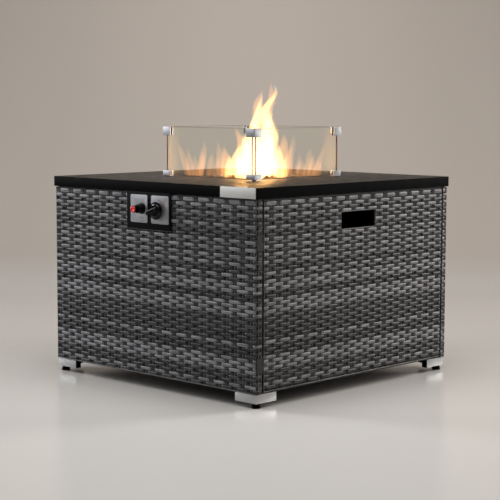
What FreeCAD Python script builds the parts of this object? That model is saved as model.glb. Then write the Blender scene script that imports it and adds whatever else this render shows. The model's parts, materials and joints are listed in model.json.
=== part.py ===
"""Square gas fire pit table: woven sides on a steel frame, sunk gas burner, glass wind guard.

Millimetres. The origin is on the floor under the middle of the table. The control panel is on the
side towards minus Y, the door on the side towards plus X, and plus Z is up.
"""

import FreeCAD, Part
import math
import os
import random
import re

import Sketcher
from FreeCAD import Placement, Rotation, Vector

# Driving dimensions, each one set by itself
SIZES = {
    # Tabletop and the bare plate on its edge
    "table_side": 800,
    "table_height": 560,
    "fascia_height": 28,
    "fascia_sheet": 2,
    "fascia_lip": 34,
    "fascia_round": 3,
    "opening_side": 262,
    "opening_lip": 14,
    "bare_plate_width": 125,
    "bare_plate_margin": 3,
    "bare_plate_sheet": 1,
    # Steel frame and woven sides
    "fascia_overhang": 3,
    "weave_thickness": 6,
    "weave_base": 36.5,
    "weave_top_gap": 2,
    "weave_round": 4,
    "row_pitch": 9.48,
    "row_top": 8.24,
    "row_groove": 4.4,
    "row_relief": 2.4,
    "corner_width": 20.5,
    "tube_side": 25,
    "tube_wall": 1.5,
    # Base shelf and bottle ring
    "shelf_sheet": 1.5,
    "shelf_rest": 14,
    "shelf_notch_gap": 1,
    "vent_length": 90,
    "vent_width": 8,
    "vent_pitch": 24,
    "vent_count": 6,
    "bottle_ring_radius": 118,
    "bottle_ring_sheet": 3,
    "bottle_ring_height": 25,
    # Feet
    "cover_inset": 4,
    "cover_leg": 75,
    "cover_sheet": 1.5,
    "cover_base": 13,
    "block_leg": 17,
    "block_flange": 30,
    "block_flange_height": 8,
    "glide_radius": 12,
    "glide_height": 11,
    "glide_inset": 14,
    "thread_radius": 4,
    "thread_length": 18,
    "running_gap": 0.05,
    # Control panel
    "panel_width": 174,
    "panel_height": 100,
    "panel_sheet": 2.5,
    "panel_lap": 3,
    "panel_round": 3,
    "cutout_gap": 0.5,
    "collar_sheet": 2,
    "face_sheet": 1.2,
    "face_height": 75,
    "face_drop": 8,
    "face_round": 5,
    "igniter_face_width": 67,
    "igniter_face_shift": -36.5,
    "valve_face_width": 68,
    "valve_face_shift": 46,
    # Igniter
    "igniter_shift": -25,
    "igniter_drop": 45,
    "skirt_radius": 14.5,
    "skirt_length": 4,
    "barrel_radius": 11.7,
    "barrel_length": 18,
    "barrel_edge": 1.2,
    "button_radius": 9.7,
    "button_proud": 16,
    "button_travel": 8,
    "button_stop_gap": 0.6,
    "bore_floor": 3,
    "tail_radius": 10,
    "tail_length": 50,
    "terminal_radius": 3,
    "terminal_length": 6,
    "igniter_nut_radius": 15.6,
    "igniter_nut_height": 5,
    "loose_gap": 0.1,
    # Gas valve
    "valve_shift": 36,
    "valve_drop": 48,
    "neck_radius": 7,
    "neck_proud": 3.3,
    "seat_radius": 6.05,
    "seat_height": 3,
    "stem_radius": 4,
    "stem_depth": 21,
    "valve_travel": 4,
    "flange_width": 44,
    "flange_height": 28,
    "flange_sheet": 4,
    "valve_width": 32,
    "valve_length": 40,
    "valve_height": 36,
    "valve_round": 2.5,
    "outlet_radius": 6,
    "outlet_length": 6,
    "outlet_drop": 10,
    "magnet_radius": 7.5,
    "magnet_length": 28,
    "magnet_rise": 8.5,
    "inlet_radius": 8,
    "inlet_length": 8,
    "inlet_depth": 20,
    "screw_radius": 1.9,
    "screw_head_radius": 3.5,
    "screw_spread": 17,
    "tail_hex_radius": 9.8,
    "tail_hex_height": 8,
    "hose_radius": 4.5,
    "hose_plain_length": 12,
    "hose_groove": 0.5,
    "hose_groove_width": 2,
    "hose_groove_pitch": 5,
    "hose_tail_bore": 3,
    # Knob
    "knob_gap": 0.5,
    "knob_skirt_radius": 23.5,
    "knob_skirt_height": 3,
    "knob_dome_radius": 18.5,
    "knob_dome_height": 4,
    "knob_hollow_radius": 9,
    "knob_hollow_height": 4,
    "stem_cover": 3,
    "stem_flat": 1.6,
    "stem_flat_length": 10,
    "grip_length": 42,
    "grip_width": 11,
    "grip_height": 12.5,
    "grip_round": 2,
    "pointer_length": 12,
    "pointer_width": 1.6,
    "pointer_depth": 0.8,
    "pointer_angle": 200,
    # Burner pan and burner
    "pan_gap": 1,
    "pan_sheet": 1.2,
    "pan_depth": 50,
    "pan_rim": 10,
    "pan_drain_radius": 5,
    "pan_drain_spread": 88,
    "burner_rise": 0.4,
    "burner_ring_radius": 60,
    "burner_tube_radius": 7,
    "cross_tube_radius": 6,
    "burner_wall": 1.2,
    "port_radius": 1.2,
    "port_count": 24,
    "spigot_radius": 8.45,
    "spigot_depth": 15,
    "spigot_flange_radius": 14,
    "spigot_flange_height": 2,
    "spigot_hole_gap": 0.5,
    "lock_nut_radius": 14,
    "lock_nut_height": 8,
    # Lava rocks
    "rock_size": 44,
    "rock_height": 44,
    "rock_wall_gap": 1,
    "top_rock_size": 43,
    "top_rock_height": 42,
    "top_rock_reach": 58,
    "middle_rock_size": 54,
    "middle_rock_height": 44,
    "rock_seat_gap": 0.4,
    # Mixer tube, air shutter and jet
    "mixer_drop": 36,
    "mixer_radius": 10,
    "mixer_bore": 8.5,
    "mixer_top_gap": 2,
    "mixer_bend": 20,
    "mixer_reach": 110,
    "air_window_width": 8,
    "air_window_length": 12,
    "air_window_inset": 6,
    "shutter_length": 20,
    "shutter_wall": 1.5,
    "shutter_lug": 6,
    "jet_plug_length": 14,
    "jet_nose_length": 4,
    "jet_nozzle_radius": 3.5,
    "jet_nozzle_length": 8,
    "jet_hex_radius": 8.1,
    "jet_hex_length": 12,
    "pipe_seat_depth": 8,
    "pipe_radius": 4,
    "pipe_bend": 22,
    "pipe_run": 45,
    "pipe_nut_radius": 8.1,
    "pipe_nut_length": 12,
    # Pilot parts
    "pilot_offset": 80,
    "pilot_spread": 9,
    "pilot_width": 34,
    "pilot_length": 12,
    "pilot_sheet": 1.5,
    "pilot_height": 19,
    "ceramic_radius": 3,
    "ceramic_rise": 12,
    "ceramic_drop": 13,
    "spark_radius": 0.9,
    "spark_rise": 6,
    "spark_reach": 10,
    "probe_radius": 2.2,
    "probe_rise": 16,
    "lead_hole_radius": 5,
    "lead_level_drop": 14,
    "lead_bend": 8,
    "probe_lead_radius": 1.2,
    "spark_lead_radius": 2,
    # Wind guard
    "guard_side": 360,
    "guard_height": 141,
    "glass_thickness": 6,
    "glass_inset": 12.5,
    "glass_gap": 0.2,
    "clip_leg": 30,
    "clip_thickness": 13,
    "clip_floor": 3,
    "clip_round": 1.5,
    "top_clip_height": 24,
    "bottom_clip_height": 15,
    "pad_height": 1.7,
    "pad_inset": 2,
    "seat_gap": 0.3,
    "grub_radius": 1.5,
    "grub_rise": 7,
    "grub_inset": 22,
    # Door
    "door_gap": 6,
    "door_back_gap": 0.4,
    "door_foot_gap": 3.5,
    "door_head_gap": 3,
    "door_round": 3,
    "door_tube": 20,
    "door_frame_gap": 3,
    "slot_width": 143,
    "slot_height": 44,
    "slot_drop": 50,
    "slot_round": 4,
    "hinge_radius": 2.6,
    "hinge_pin_radius": 1.25,
    "hinge_barrel_length": 20,
    "hinge_barrel_gap": 0.3,
    "hinge_plate_sheet": 1,
    "hinge_plate_margin": 3,
    "leaf_sheet": 1.5,
    "leaf_length": 33,
    "leaf_pocket_gap": 0.3,
    "lower_hinge_height": 90,
    "upper_hinge_height": 401,
    "catch_inset": 70.5,
    "catch_width": 40,
    "catch_depth": 20,
    "catch_height": 17,
    "catch_sheet": 1.5,
    "catch_flange": 38,
    "strike_width": 30,
    "strike_height": 14,
    "strike_sheet": 1.5,
}

# Places worked out from the driving dimensions, in the order in which they depend on each other
PLACES = {
    "half_side": "table_side / 2",
    "fascia_bottom": "table_height - fascia_height",
    "skin_face": "half_side - fascia_overhang",
    "skin_back": "skin_face - weave_thickness",
    "post_inner": "skin_back - tube_side",
    "weave_top": "fascia_bottom - weave_top_gap",
    "first_groove": "weave_top - row_top",
    "groove_count": "1 + floor((first_groove - weave_base - row_groove) / row_pitch)",
    "rail_bottom": "fascia_bottom - tube_side",
    "lower_rail_top": "weave_base + tube_side",
    "shelf_top": "lower_rail_top + shelf_sheet",
    "shelf_half": "post_inner + shelf_rest",
    "shelf_notch": "post_inner - shelf_notch_gap",
    "cover_face": "skin_face - cover_inset",
    "block_face": "cover_face - cover_sheet",
    "glide_place": "cover_face - glide_inset",
    "foot_height": "weave_base - cover_base",
    "panel_bottom": "fascia_bottom - panel_height",
    "panel_front": "skin_face + panel_sheet",
    "face_front": "panel_front + face_sheet",
    "cutout_half": "panel_width / 2 - panel_lap",
    "cutout_bottom": "panel_bottom + panel_lap",
    "front_stack": "panel_sheet + face_sheet",
    "igniter_level": "fascia_bottom - igniter_drop",
    "valve_level": "fascia_bottom - valve_drop",
    "igniter_bore": "button_radius + running_gap",
    "igniter_back": "face_front - tail_length - terminal_length",
    "valve_back": "face_front - front_stack - flange_sheet - valve_length",
    "outlet_level": "valve_level - outlet_drop",
    "magnet_level": "valve_level + magnet_rise",
    "valve_floor": "valve_level - valve_height / 2",
    "inlet_place": "face_front - front_stack - flange_sheet - inlet_depth",
    "hose_tail_top": "valve_floor - inlet_length",
    "knob_rear": "valve_travel + knob_gap",
    "knob_dome_top": "knob_rear + knob_skirt_height + knob_dome_height",
    "knob_top": "knob_dome_top + grip_height",
    "stem_end": "knob_top - stem_cover - loose_gap",
    "pan_half": "opening_side / 2 - pan_gap",
    "pan_inner": "pan_half - pan_sheet",
    "pan_bottom": "table_height - pan_depth",
    "pan_floor": "pan_bottom + pan_sheet",
    "burner_level": "pan_floor + burner_rise + burner_tube_radius",
    "spigot_bottom": "pan_bottom - spigot_depth",
    "mixer_level": "pan_bottom - mixer_drop",
    "mixer_top": "pan_bottom - lock_nut_height - mixer_top_gap",
    "air_window_near": "mixer_reach - air_window_inset - air_window_length",
    "shutter_bore": "mixer_radius + running_gap",
    "shutter_near": "air_window_near + air_window_length / 2 - shutter_length / 2",
    "jet_back": "mixer_reach + jet_plug_length + jet_hex_length",
    "pilot_top": "pan_floor + pilot_height",
    "guard_half": "guard_side / 2",
    "glass_outer": "guard_half - (clip_thickness - glass_thickness) / 2",
    "glass_end": "guard_half - glass_inset",
    "guard_top": "table_height + guard_height",
    "pad_bottom": "table_height + seat_gap",
    "clip_bottom": "pad_bottom + pad_height",
    "glass_bottom": "clip_bottom + clip_floor",
    "clip_inner": "guard_half - clip_thickness",
    "door_half": "skin_face - corner_width - door_gap",
    "door_back": "skin_back + door_back_gap",
    "door_bottom": "weave_base + door_foot_gap",
    "door_top": "fascia_bottom - door_head_gap",
    "door_frame_half": "post_inner - door_frame_gap",
    "door_frame_bottom": "lower_rail_top + door_frame_gap",
    "door_frame_top": "rail_bottom - door_frame_gap",
    "door_frame_back": "door_back - door_tube",
    "slot_top": "fascia_bottom - slot_drop",
    "slot_bottom": "slot_top - slot_height",
    "hinge_out": "skin_back + door_back_gap + hinge_radius",
    "hinge_line": "door_half + door_gap / 2",
    "hinge_height": "2 * hinge_barrel_length + hinge_barrel_gap",
    "hinge_plate_back": "hinge_out + hinge_radius - hinge_plate_sheet",
    "hinge_plate_width": "corner_width - hinge_plate_margin",
    "strip_edge": "skin_face - corner_width",
    "catch_middle": "door_half - catch_inset",
    "strike_face": "door_frame_back - strike_sheet",
    "catch_face": "strike_face - seat_gap",
}

UP = Rotation()
OUT = Rotation(Vector(1, 0, 0), 90)
DOWN = Rotation(Vector(1, 0, 0), 180)
IN = Rotation(Vector(1, 0, 0), -90)
ALONG_X = Rotation(Vector(0, 1, 0), 90)

doc = FreeCAD.newDocument("fire_pit_table")
pieces = []


# Sheets

def fill_sheet(name, cells, opening):
    """A sheet with a name and a value on each row; opening comes before each value."""
    sheet = doc.addObject("Spreadsheet::Sheet", name)
    for row, (alias, content) in enumerate(cells.items(), start=1):
        sheet.set(f"A{row}", alias)
        sheet.set(f"B{row}", opening + str(content))
        sheet.setAlias(f"B{row}", alias)
    doc.recompute()
    return sheet


def named(formula):
    """The formula with each size or place led by the name of its sheet."""
    def lead(word):
        if word.group() in SIZES:
            return "Sizes." + word.group()
        return ("Places." if word.group() in PLACES else "") + word.group()
    return re.sub(r"[a-z][a-z_]+", lead, formula)


sizes = fill_sheet("Sizes", SIZES, "")
places = fill_sheet("Places", {alias: named(formula) for alias, formula in PLACES.items()}, "=")


def value(formula):
    """The number that a formula of sizes and places gives now."""
    return float(places.evalExpression(named(formula)))


def bind(thing, field, formula):
    thing.setExpression(field, named(formula))


def put(thing, x="0", y="0", z="0", turn=UP):
    """Sets the turn of a piece and ties its place to the sheets."""
    thing.Placement = Placement(Vector(), turn)
    for axis, formula in (("x", x), ("y", y), ("z", z)):
        if formula != "0":
            bind(thing, "Placement.Base." + axis, formula)
    return thing


def keep(thing, label):
    """Marks a finished sub-part."""
    thing.Label = label
    pieces.append(thing)
    return thing


# Plain solids and booleans

def box(name, low, size):
    """A box from its low corner and its size along X, Y and Z."""
    block = doc.addObject("Part::Box", name)
    for field, formula in zip(("Length", "Width", "Height"), size):
        bind(block, field, formula)
    return put(block, *low)


def rod(name, radius, length, foot, turn=UP):
    cylinder = doc.addObject("Part::Cylinder", name)
    bind(cylinder, "Radius", radius)
    bind(cylinder, "Height", length)
    return put(cylinder, *foot, turn=turn)


def hexagon(name, radius, length, foot, turn=UP):
    prism = doc.addObject("Part::Prism", name)
    prism.Polygon = 6
    bind(prism, "Circumradius", radius)
    bind(prism, "Height", length)
    return put(prism, *foot, turn=turn)


def cut(name, base, tool):
    result = doc.addObject("Part::Cut", name)
    result.Base = base
    result.Tool = tool
    return result


def joined(name, parts):
    result = doc.addObject("Part::MultiFuse", name)
    result.Shapes = parts
    return result


def group(name, parts):
    """Separate solids that share one sub-part, such as a set of screws."""
    result = doc.addObject("Part::Compound", name)
    result.Links = parts
    return result


def from_shape(name, shape):
    feature = doc.addObject("Part::Feature", name)
    feature.Shape = shape
    feature.Placement = Placement()
    return feature


# Bodies made of sketches and features

def new_body(name):
    body = doc.addObject("PartDesign::Body", name)
    body.AllowCompound = True
    return body


def datum(body, role):
    return next(part for part in body.Origin.OriginFeatures if part.Role == role)


def sketch(body, plane="XY_Plane", level="0"):
    drawing = body.newObject("Sketcher::SketchObject", body.Name + "_sketch")
    drawing.AttachmentSupport = [(datum(body, plane), "")]
    drawing.MapMode = "FlatFace"
    if level != "0":
        bind(drawing, "AttachmentOffset.Base.z", level)
    return drawing


def polygon(drawing, corners):
    """A closed outline whose corners are pairs of formulas."""
    first = drawing.GeometryCount
    count = len(corners)
    points = [Vector(value(x), value(y), 0) for x, y in corners]
    for index in range(count):
        drawing.addGeometry(Part.LineSegment(points[index], points[(index + 1) % count]), False)
    for index in range(count):
        line = first + index
        following = first + (index + 1) % count
        drawing.addConstraint(Sketcher.Constraint("Coincident", line, 2, following, 1))
        for kind, formula in zip(("DistanceX", "DistanceY"), corners[index]):
            tie = drawing.addConstraint(Sketcher.Constraint(kind, -1, 1, line, 1, value(formula)))
            bind(drawing, f"Constraints[{tie}]", formula)
    return drawing


def rectangle(drawing, left, low, right, high):
    return polygon(drawing, [(left, low), (right, low), (right, high), (left, high)])


def square(drawing, half):
    return rectangle(drawing, f"-({half})", f"-({half})", half, half)


def square_ring(drawing, outer, inner):
    square(drawing, outer)
    return square(drawing, inner)


def circle(drawing, x, y, radius):
    round_line = drawing.addGeometry(
        Part.Circle(Vector(value(x), value(y), 0), Vector(0, 0, 1), value(radius)), False
    )
    ties = (("DistanceX", x), ("DistanceY", y))
    for kind, formula in ties:
        tie = drawing.addConstraint(Sketcher.Constraint(kind, -1, 1, round_line, 3, value(formula)))
        bind(drawing, f"Constraints[{tie}]", formula)
    tie = drawing.addConstraint(Sketcher.Constraint("Radius", round_line, value(radius)))
    bind(drawing, f"Constraints[{tie}]", radius)
    return drawing


def extrusion(kind, body, drawing, length, back=False, side="One side"):
    feature = body.newObject("PartDesign::" + kind, body.Name + "_" + kind.lower())
    feature.Profile = drawing
    feature.SideType = side
    feature.Reversed = back
    bind(feature, "Length", length)
    body.Tip = feature
    return feature


def pad(body, drawing, length, back=False, side="One side"):
    return extrusion("Pad", body, drawing, length, back, side)


def pocket(body, drawing, length, back=False, side="One side"):
    """A pocket, which has to take material away."""
    doc.recompute()
    before = body.Shape.Volume
    feature = extrusion("Pocket", body, drawing, length, back, side)
    doc.recompute()
    if feature.Shape.Volume >= before:
        raise ValueError(f"{body.Name}: a pocket cuts nothing")
    return feature


def turned(body, drawing, kind="Revolution"):
    """A full turn about the sketch's upright axis."""
    feature = body.newObject("PartDesign::" + kind, body.Name + "_" + kind.lower())
    feature.Profile = drawing
    feature.ReferenceAxis = (drawing, ["V_Axis"])
    feature.Angle = 360
    body.Tip = feature
    return feature


def repeated(body, features, count="4", axis="Z_Axis"):
    """Copies of the features at equal turns about an axis of the body."""
    pattern = body.newObject("PartDesign::PolarPattern", body.Name + "_pattern")
    pattern.Originals = features
    pattern.Axis = (datum(body, axis), [""])
    pattern.Angle = 360
    bind(pattern, "Occurrences", count)
    body.Tip = pattern
    return pattern


def rounded(body, radius, wanted):
    """Rounds the edges whose middle and direction the wanted function accepts."""
    doc.recompute()
    base = body.Tip
    names = []
    for number, edge in enumerate(base.Shape.Edges, start=1):
        middle = edge.valueAt((edge.FirstParameter + edge.LastParameter) / 2)
        along = edge.tangentAt(edge.FirstParameter)
        if wanted(middle, along):
            names.append(f"Edge{number}")
    fillet = body.newObject("PartDesign::Fillet", body.Name + "_fillet")
    fillet.Base = (base, names)
    bind(fillet, "Radius", radius)
    body.Tip = fillet
    return fillet


def near(number, formula):
    """True if a coordinate lies at the place that a formula gives."""
    return abs(number - value(formula)) < 0.01


# Tabletop

def make_tabletop():
    body = new_body("tabletop")
    top = square_ring(sketch(body, level="table_height - fascia_sheet"), "half_side", "opening_side / 2")
    pad(body, top, "fascia_sheet")
    skirt = square_ring(sketch(body, level="fascia_bottom"), "half_side", "half_side - fascia_sheet")
    pad(body, skirt, "fascia_height")
    lip = square_ring(sketch(body, level="fascia_bottom"), "half_side", "half_side - fascia_lip")
    pad(body, lip, "fascia_sheet")
    edge = sketch(body, level="table_height - opening_lip")
    square_ring(edge, "opening_side / 2 + fascia_sheet", "opening_side / 2")
    pad(body, edge, "opening_lip")

    def at_corner(middle, along):
        upright = abs(along.z) > 0.99
        return upright and near(abs(middle.x), "half_side") and near(abs(middle.y), "half_side")

    rounded(body, "fascia_round", at_corner)
    keep(body, "tabletop")
    plate = box(
        "bare_plate",
        (
            "half_side - bare_plate_margin - bare_plate_width",
            "-half_side - bare_plate_sheet",
            "fascia_bottom",
        ),
        ("bare_plate_width", "bare_plate_sheet", "fascia_height"),
    )
    keep(plate, "fascia_plate")


# Steel frame

def make_frame():
    posts = new_body("posts")
    section = sketch(posts, level="weave_base")
    rectangle(section, "post_inner", "-skin_back", "skin_back", "-post_inner")
    rectangle(
        section,
        "post_inner + tube_wall",
        "-skin_back + tube_wall",
        "skin_back - tube_wall",
        "-post_inner - tube_wall",
    )
    repeated(posts, [pad(posts, section, "fascia_bottom - weave_base")])
    keep(posts, "posts")
    for name, low in (("top_rails", "rail_bottom"), ("bottom_rails", "weave_base")):
        rails = new_body(name)
        section = sketch(rails, "YZ_Plane")
        rectangle(section, "-skin_back", low, "-post_inner", low + " + tube_side")
        rectangle(
            section,
            "-skin_back + tube_wall",
            low + " + tube_wall",
            "-post_inner - tube_wall",
            low + " + tube_side - tube_wall",
        )
        repeated(rails, [pad(rails, section, "2 * post_inner", side="Symmetric")])
        keep(rails, name)


# Woven sides

def hinge_recess():
    """The flat beds of the hinge plates on the corner beside the door."""
    beds = []
    for number, level in enumerate(("lower_hinge_height", "upper_hinge_height"), start=1):
        bed = box(
            f"hinge_bed_{number}",
            ("hinge_plate_back", "-strip_edge - hinge_plate_width", level),
            ("weave_thickness", "hinge_plate_width + 1", "hinge_height"),
        )
        beds.append(bed)
    return joined("hinge_beds", beds)


def row_grooves(body, plane, face):
    """Parts the outer face of a woven side into rows of cane, from the top down."""
    outside, inside = ("-", "+") if face.startswith("-") else ("+", "-")
    line = sketch(body, plane)
    corners = [
        (f"{face} {outside} row_relief", "first_groove - row_groove"),
        (f"{face} {inside} row_relief", "first_groove"),
        (f"{face} {outside} row_relief", "first_groove + row_groove"),
    ]
    polygon(line, corners)
    groove = pocket(body, line, "3 * half_side", side="Symmetric")
    rows = body.newObject("PartDesign::LinearPattern", body.Name + "_rows")
    rows.Originals = [groove]
    rows.Direction = (datum(body, "Z_Axis"), [""])
    rows.Reversed = True
    bind(rows, "Length", "row_pitch * (groove_count - 1)")
    bind(rows, "Occurrences", "groove_count")
    body.Tip = rows


def make_weave():
    front = new_body("weave_front")
    outline = sketch(front, "XZ_Plane", "skin_back")
    polygon(
        outline,
        [
            ("-skin_face", "weave_base"),
            ("skin_face", "weave_base"),
            ("skin_face", "weave_top"),
            ("cutout_half", "weave_top"),
            ("cutout_half", "cutout_bottom"),
            ("-cutout_half", "cutout_bottom"),
            ("-cutout_half", "weave_top"),
            ("-skin_face", "weave_top"),
        ],
    )
    pad(front, outline, "weave_thickness")
    rear = new_body("weave_rear")
    outline = sketch(rear, "XZ_Plane", "-skin_face")
    rectangle(outline, "-skin_face", "weave_base", "skin_face", "weave_top")
    pad(rear, outline, "weave_thickness")

    def outer_corner(middle, along):
        upright = abs(along.z) > 0.99
        return upright and near(abs(middle.x), "skin_face") and near(abs(middle.y), "skin_face")

    for body, face in ((front, "-skin_face"), (rear, "skin_face")):
        rounded(body, "weave_round", outer_corner)
        row_grooves(body, "YZ_Plane", face)
    recess = hinge_recess()
    keep(cut("weave_front_panel", front, recess), "rattan_front")
    keep(rear, "rattan_rear")
    left = woven_strip("weave_left", "-skin_face", "-skin_back", "skin_back")
    keep(left, "rattan_left")
    near_strip = woven_strip("weave_strip_near", "skin_face", "-skin_back", "-strip_edge")
    keep(cut("weave_strip_near_panel", near_strip, recess), "rattan_strip_front")
    far_strip = woven_strip("weave_strip_far", "skin_face", "strip_edge", "skin_back")
    keep(far_strip, "rattan_strip_rear")


def woven_strip(name, face, start, end):
    """A flat length of weave on the side that a face's place along X gives."""
    strip = new_body(name)
    plan = sketch(strip, level="weave_base")
    back = "-skin_back" if face.startswith("-") else "skin_back"
    low, high = (face, back) if face.startswith("-") else (back, face)
    rectangle(plan, low, start, high, end)
    pad(strip, plan, "weave_top - weave_base")
    row_grooves(strip, "XZ_Plane", face)
    return strip


# Base shelf and the ring that holds the gas bottle in place

def make_shelf():
    shelf = new_body("shelf")
    outline = sketch(shelf, level="lower_rail_top")
    corners = [
        ("shelf_notch", "shelf_half"),
        ("shelf_notch", "shelf_notch"),
        ("shelf_half", "shelf_notch"),
        ("shelf_half", "-shelf_notch"),
        ("shelf_notch", "-shelf_notch"),
        ("shelf_notch", "-shelf_half"),
        ("-shelf_notch", "-shelf_half"),
        ("-shelf_notch", "-shelf_notch"),
        ("-shelf_half", "-shelf_notch"),
        ("-shelf_half", "shelf_notch"),
        ("-shelf_notch", "shelf_notch"),
        ("-shelf_notch", "shelf_half"),
    ]
    polygon(outline, corners)
    pad(shelf, outline, "shelf_sheet")
    vent = sketch(shelf, level="shelf_top")
    row_start = "-vent_pitch * (vent_count - 1) / 2"
    rectangle(
        vent,
        row_start + " - vent_width / 2",
        "-vent_length / 2",
        row_start + " + vent_width / 2",
        "vent_length / 2",
    )
    slot = pocket(shelf, vent, "shelf_sheet")
    row = shelf.newObject("PartDesign::LinearPattern", "shelf_vents")
    row.Originals = [slot]
    row.Direction = (datum(shelf, "X_Axis"), [""])
    bind(row, "Length", "vent_pitch * (vent_count - 1)")
    bind(row, "Occurrences", "vent_count")
    shelf.Tip = row
    keep(shelf, "base_shelf")
    ring = new_body("bottle_ring")
    section = sketch(ring, "XZ_Plane")
    rectangle(
        section,
        "bottle_ring_radius",
        "shelf_top",
        "bottle_ring_radius + bottle_ring_sheet",
        "shelf_top + bottle_ring_height",
    )
    turned(ring, section)
    keep(ring, "bottle_ring")


# Feet

def make_feet():
    covers = new_body("covers")
    plan = sketch(covers, level="cover_base")
    polygon(
        plan,
        [
            ("cover_face", "cover_face"),
            ("cover_face - cover_leg", "cover_face"),
            ("cover_face - cover_leg", "block_face"),
            ("block_face", "block_face"),
            ("block_face", "cover_face - cover_leg"),
            ("cover_face", "cover_face - cover_leg"),
        ],
    )
    repeated(covers, [pad(covers, plan, "foot_height")])
    keep(covers, "foot_covers")
    blocks = new_body("blocks")
    plan = sketch(blocks, level="cover_base")
    inner = "block_face - block_leg"
    elbow = "block_face - block_flange"
    far = "cover_face - cover_leg"
    polygon(
        plan,
        [
            ("block_face", "block_face"),
            (far, "block_face"),
            (far, inner),
            (elbow, inner),
            (elbow, elbow),
            (inner, elbow),
            (inner, far),
            ("block_face", far),
        ],
    )
    leg = pad(blocks, plan, "foot_height")
    plan = sketch(blocks, level="weave_base - block_flange_height")
    polygon(
        plan,
        [
            ("block_face", "block_face"),
            (far, "block_face"),
            (far, elbow),
            (elbow, elbow),
            (elbow, far),
            ("block_face", far),
        ],
    )
    flange = pad(blocks, plan, "block_flange_height")
    plan = sketch(blocks, level="cover_base + thread_length")
    circle(plan, "glide_place", "glide_place", "thread_radius + running_gap")
    thread = pocket(blocks, plan, "thread_length")
    repeated(blocks, [leg, flange, thread])
    keep(blocks, "foot_blocks")
    for label, x, y in (
        ("glide_front_left", "-glide_place", "-glide_place"),
        ("glide_front_right", "glide_place", "-glide_place"),
        ("glide_rear_right", "glide_place", "glide_place"),
        ("glide_rear_left", "-glide_place", "glide_place"),
    ):
        glide = new_body(label)
        profile = sketch(glide, "XZ_Plane")
        stem_top = "cover_base + thread_length - 1"
        polygon(
            profile,
            [
                ("0", "0"),
                ("glide_radius - 1", "0"),
                ("glide_radius", "1"),
                ("glide_radius", "glide_height / 2"),
                ("glide_radius - 3", "glide_height"),
                ("thread_radius", "glide_height"),
                ("thread_radius", stem_top),
                ("0", stem_top),
            ],
        )
        turned(glide, profile)
        put(glide, x, y)
        keep(glide, label)


# Control panel

def make_panel():
    frame = new_body("panel_frame")
    front = sketch(frame, "XZ_Plane", "skin_face")
    rectangle(front, "-panel_width / 2", "panel_bottom", "panel_width / 2", "fascia_bottom")
    pad(frame, front, "panel_sheet")

    def front_edge(middle, along):
        at_side = near(abs(middle.x), "panel_width / 2") or near(middle.z, "panel_bottom")
        return at_side and near(middle.y, "-panel_front")

    rounded(frame, "panel_sheet * 0.6", front_edge)
    collar = sketch(frame, "XZ_Plane", "skin_face")
    outer = "cutout_half - cutout_gap"
    low = "cutout_bottom + cutout_gap"
    rectangle(collar, f"-({outer})", low, outer, "fascia_bottom")
    inner = outer + " - collar_sheet"
    rectangle(collar, f"-({inner})", low + " + collar_sheet", inner, "fascia_bottom - collar_sheet")
    pad(frame, collar, "weave_thickness", back=True)
    holes = sketch(frame, "XZ_Plane", "panel_front")
    circle(holes, "igniter_shift", "igniter_level", "tail_radius + loose_gap")
    circle(holes, "valve_shift", "valve_level", "neck_radius + loose_gap")
    for side in ("-", "+"):
        circle(holes, f"valve_shift {side} screw_spread", "valve_level", "screw_radius + loose_gap")
    pocket(frame, holes, "panel_sheet")
    keep(frame, "control_bezel")
    for label, shift, width in (
        ("igniter_plate", "igniter_face_shift", "igniter_face_width"),
        ("valve_plate", "valve_face_shift", "valve_face_width"),
    ):
        face = new_body(label)
        outline = sketch(face, "XZ_Plane", "panel_front")
        top = "fascia_bottom - face_drop"
        rectangle(
            outline, f"{shift} - {width} / 2", top + " - face_height", f"{shift} + {width} / 2", top
        )
        if label == "igniter_plate":
            circle(outline, "igniter_shift", "igniter_level", "tail_radius + loose_gap")
        else:
            circle(outline, "valve_shift", "valve_level", "neck_radius + loose_gap")
            for side in ("-", "+"):
                centre = f"valve_shift {side} screw_spread"
                circle(outline, centre, "valve_level", "screw_head_radius + loose_gap")
        pad(face, outline, "face_sheet")

        def at_corner(middle, along):
            return abs(along.y) > 0.99 and not near(middle.z, "igniter_level") and (
                near(middle.z, "fascia_bottom - face_drop")
                or near(middle.z, "fascia_bottom - face_drop - face_height")
            )

        rounded(face, "face_round", at_corner)
        keep(face, label)


# Igniter, with its axis along its own Z from the front of the plate outwards

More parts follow.
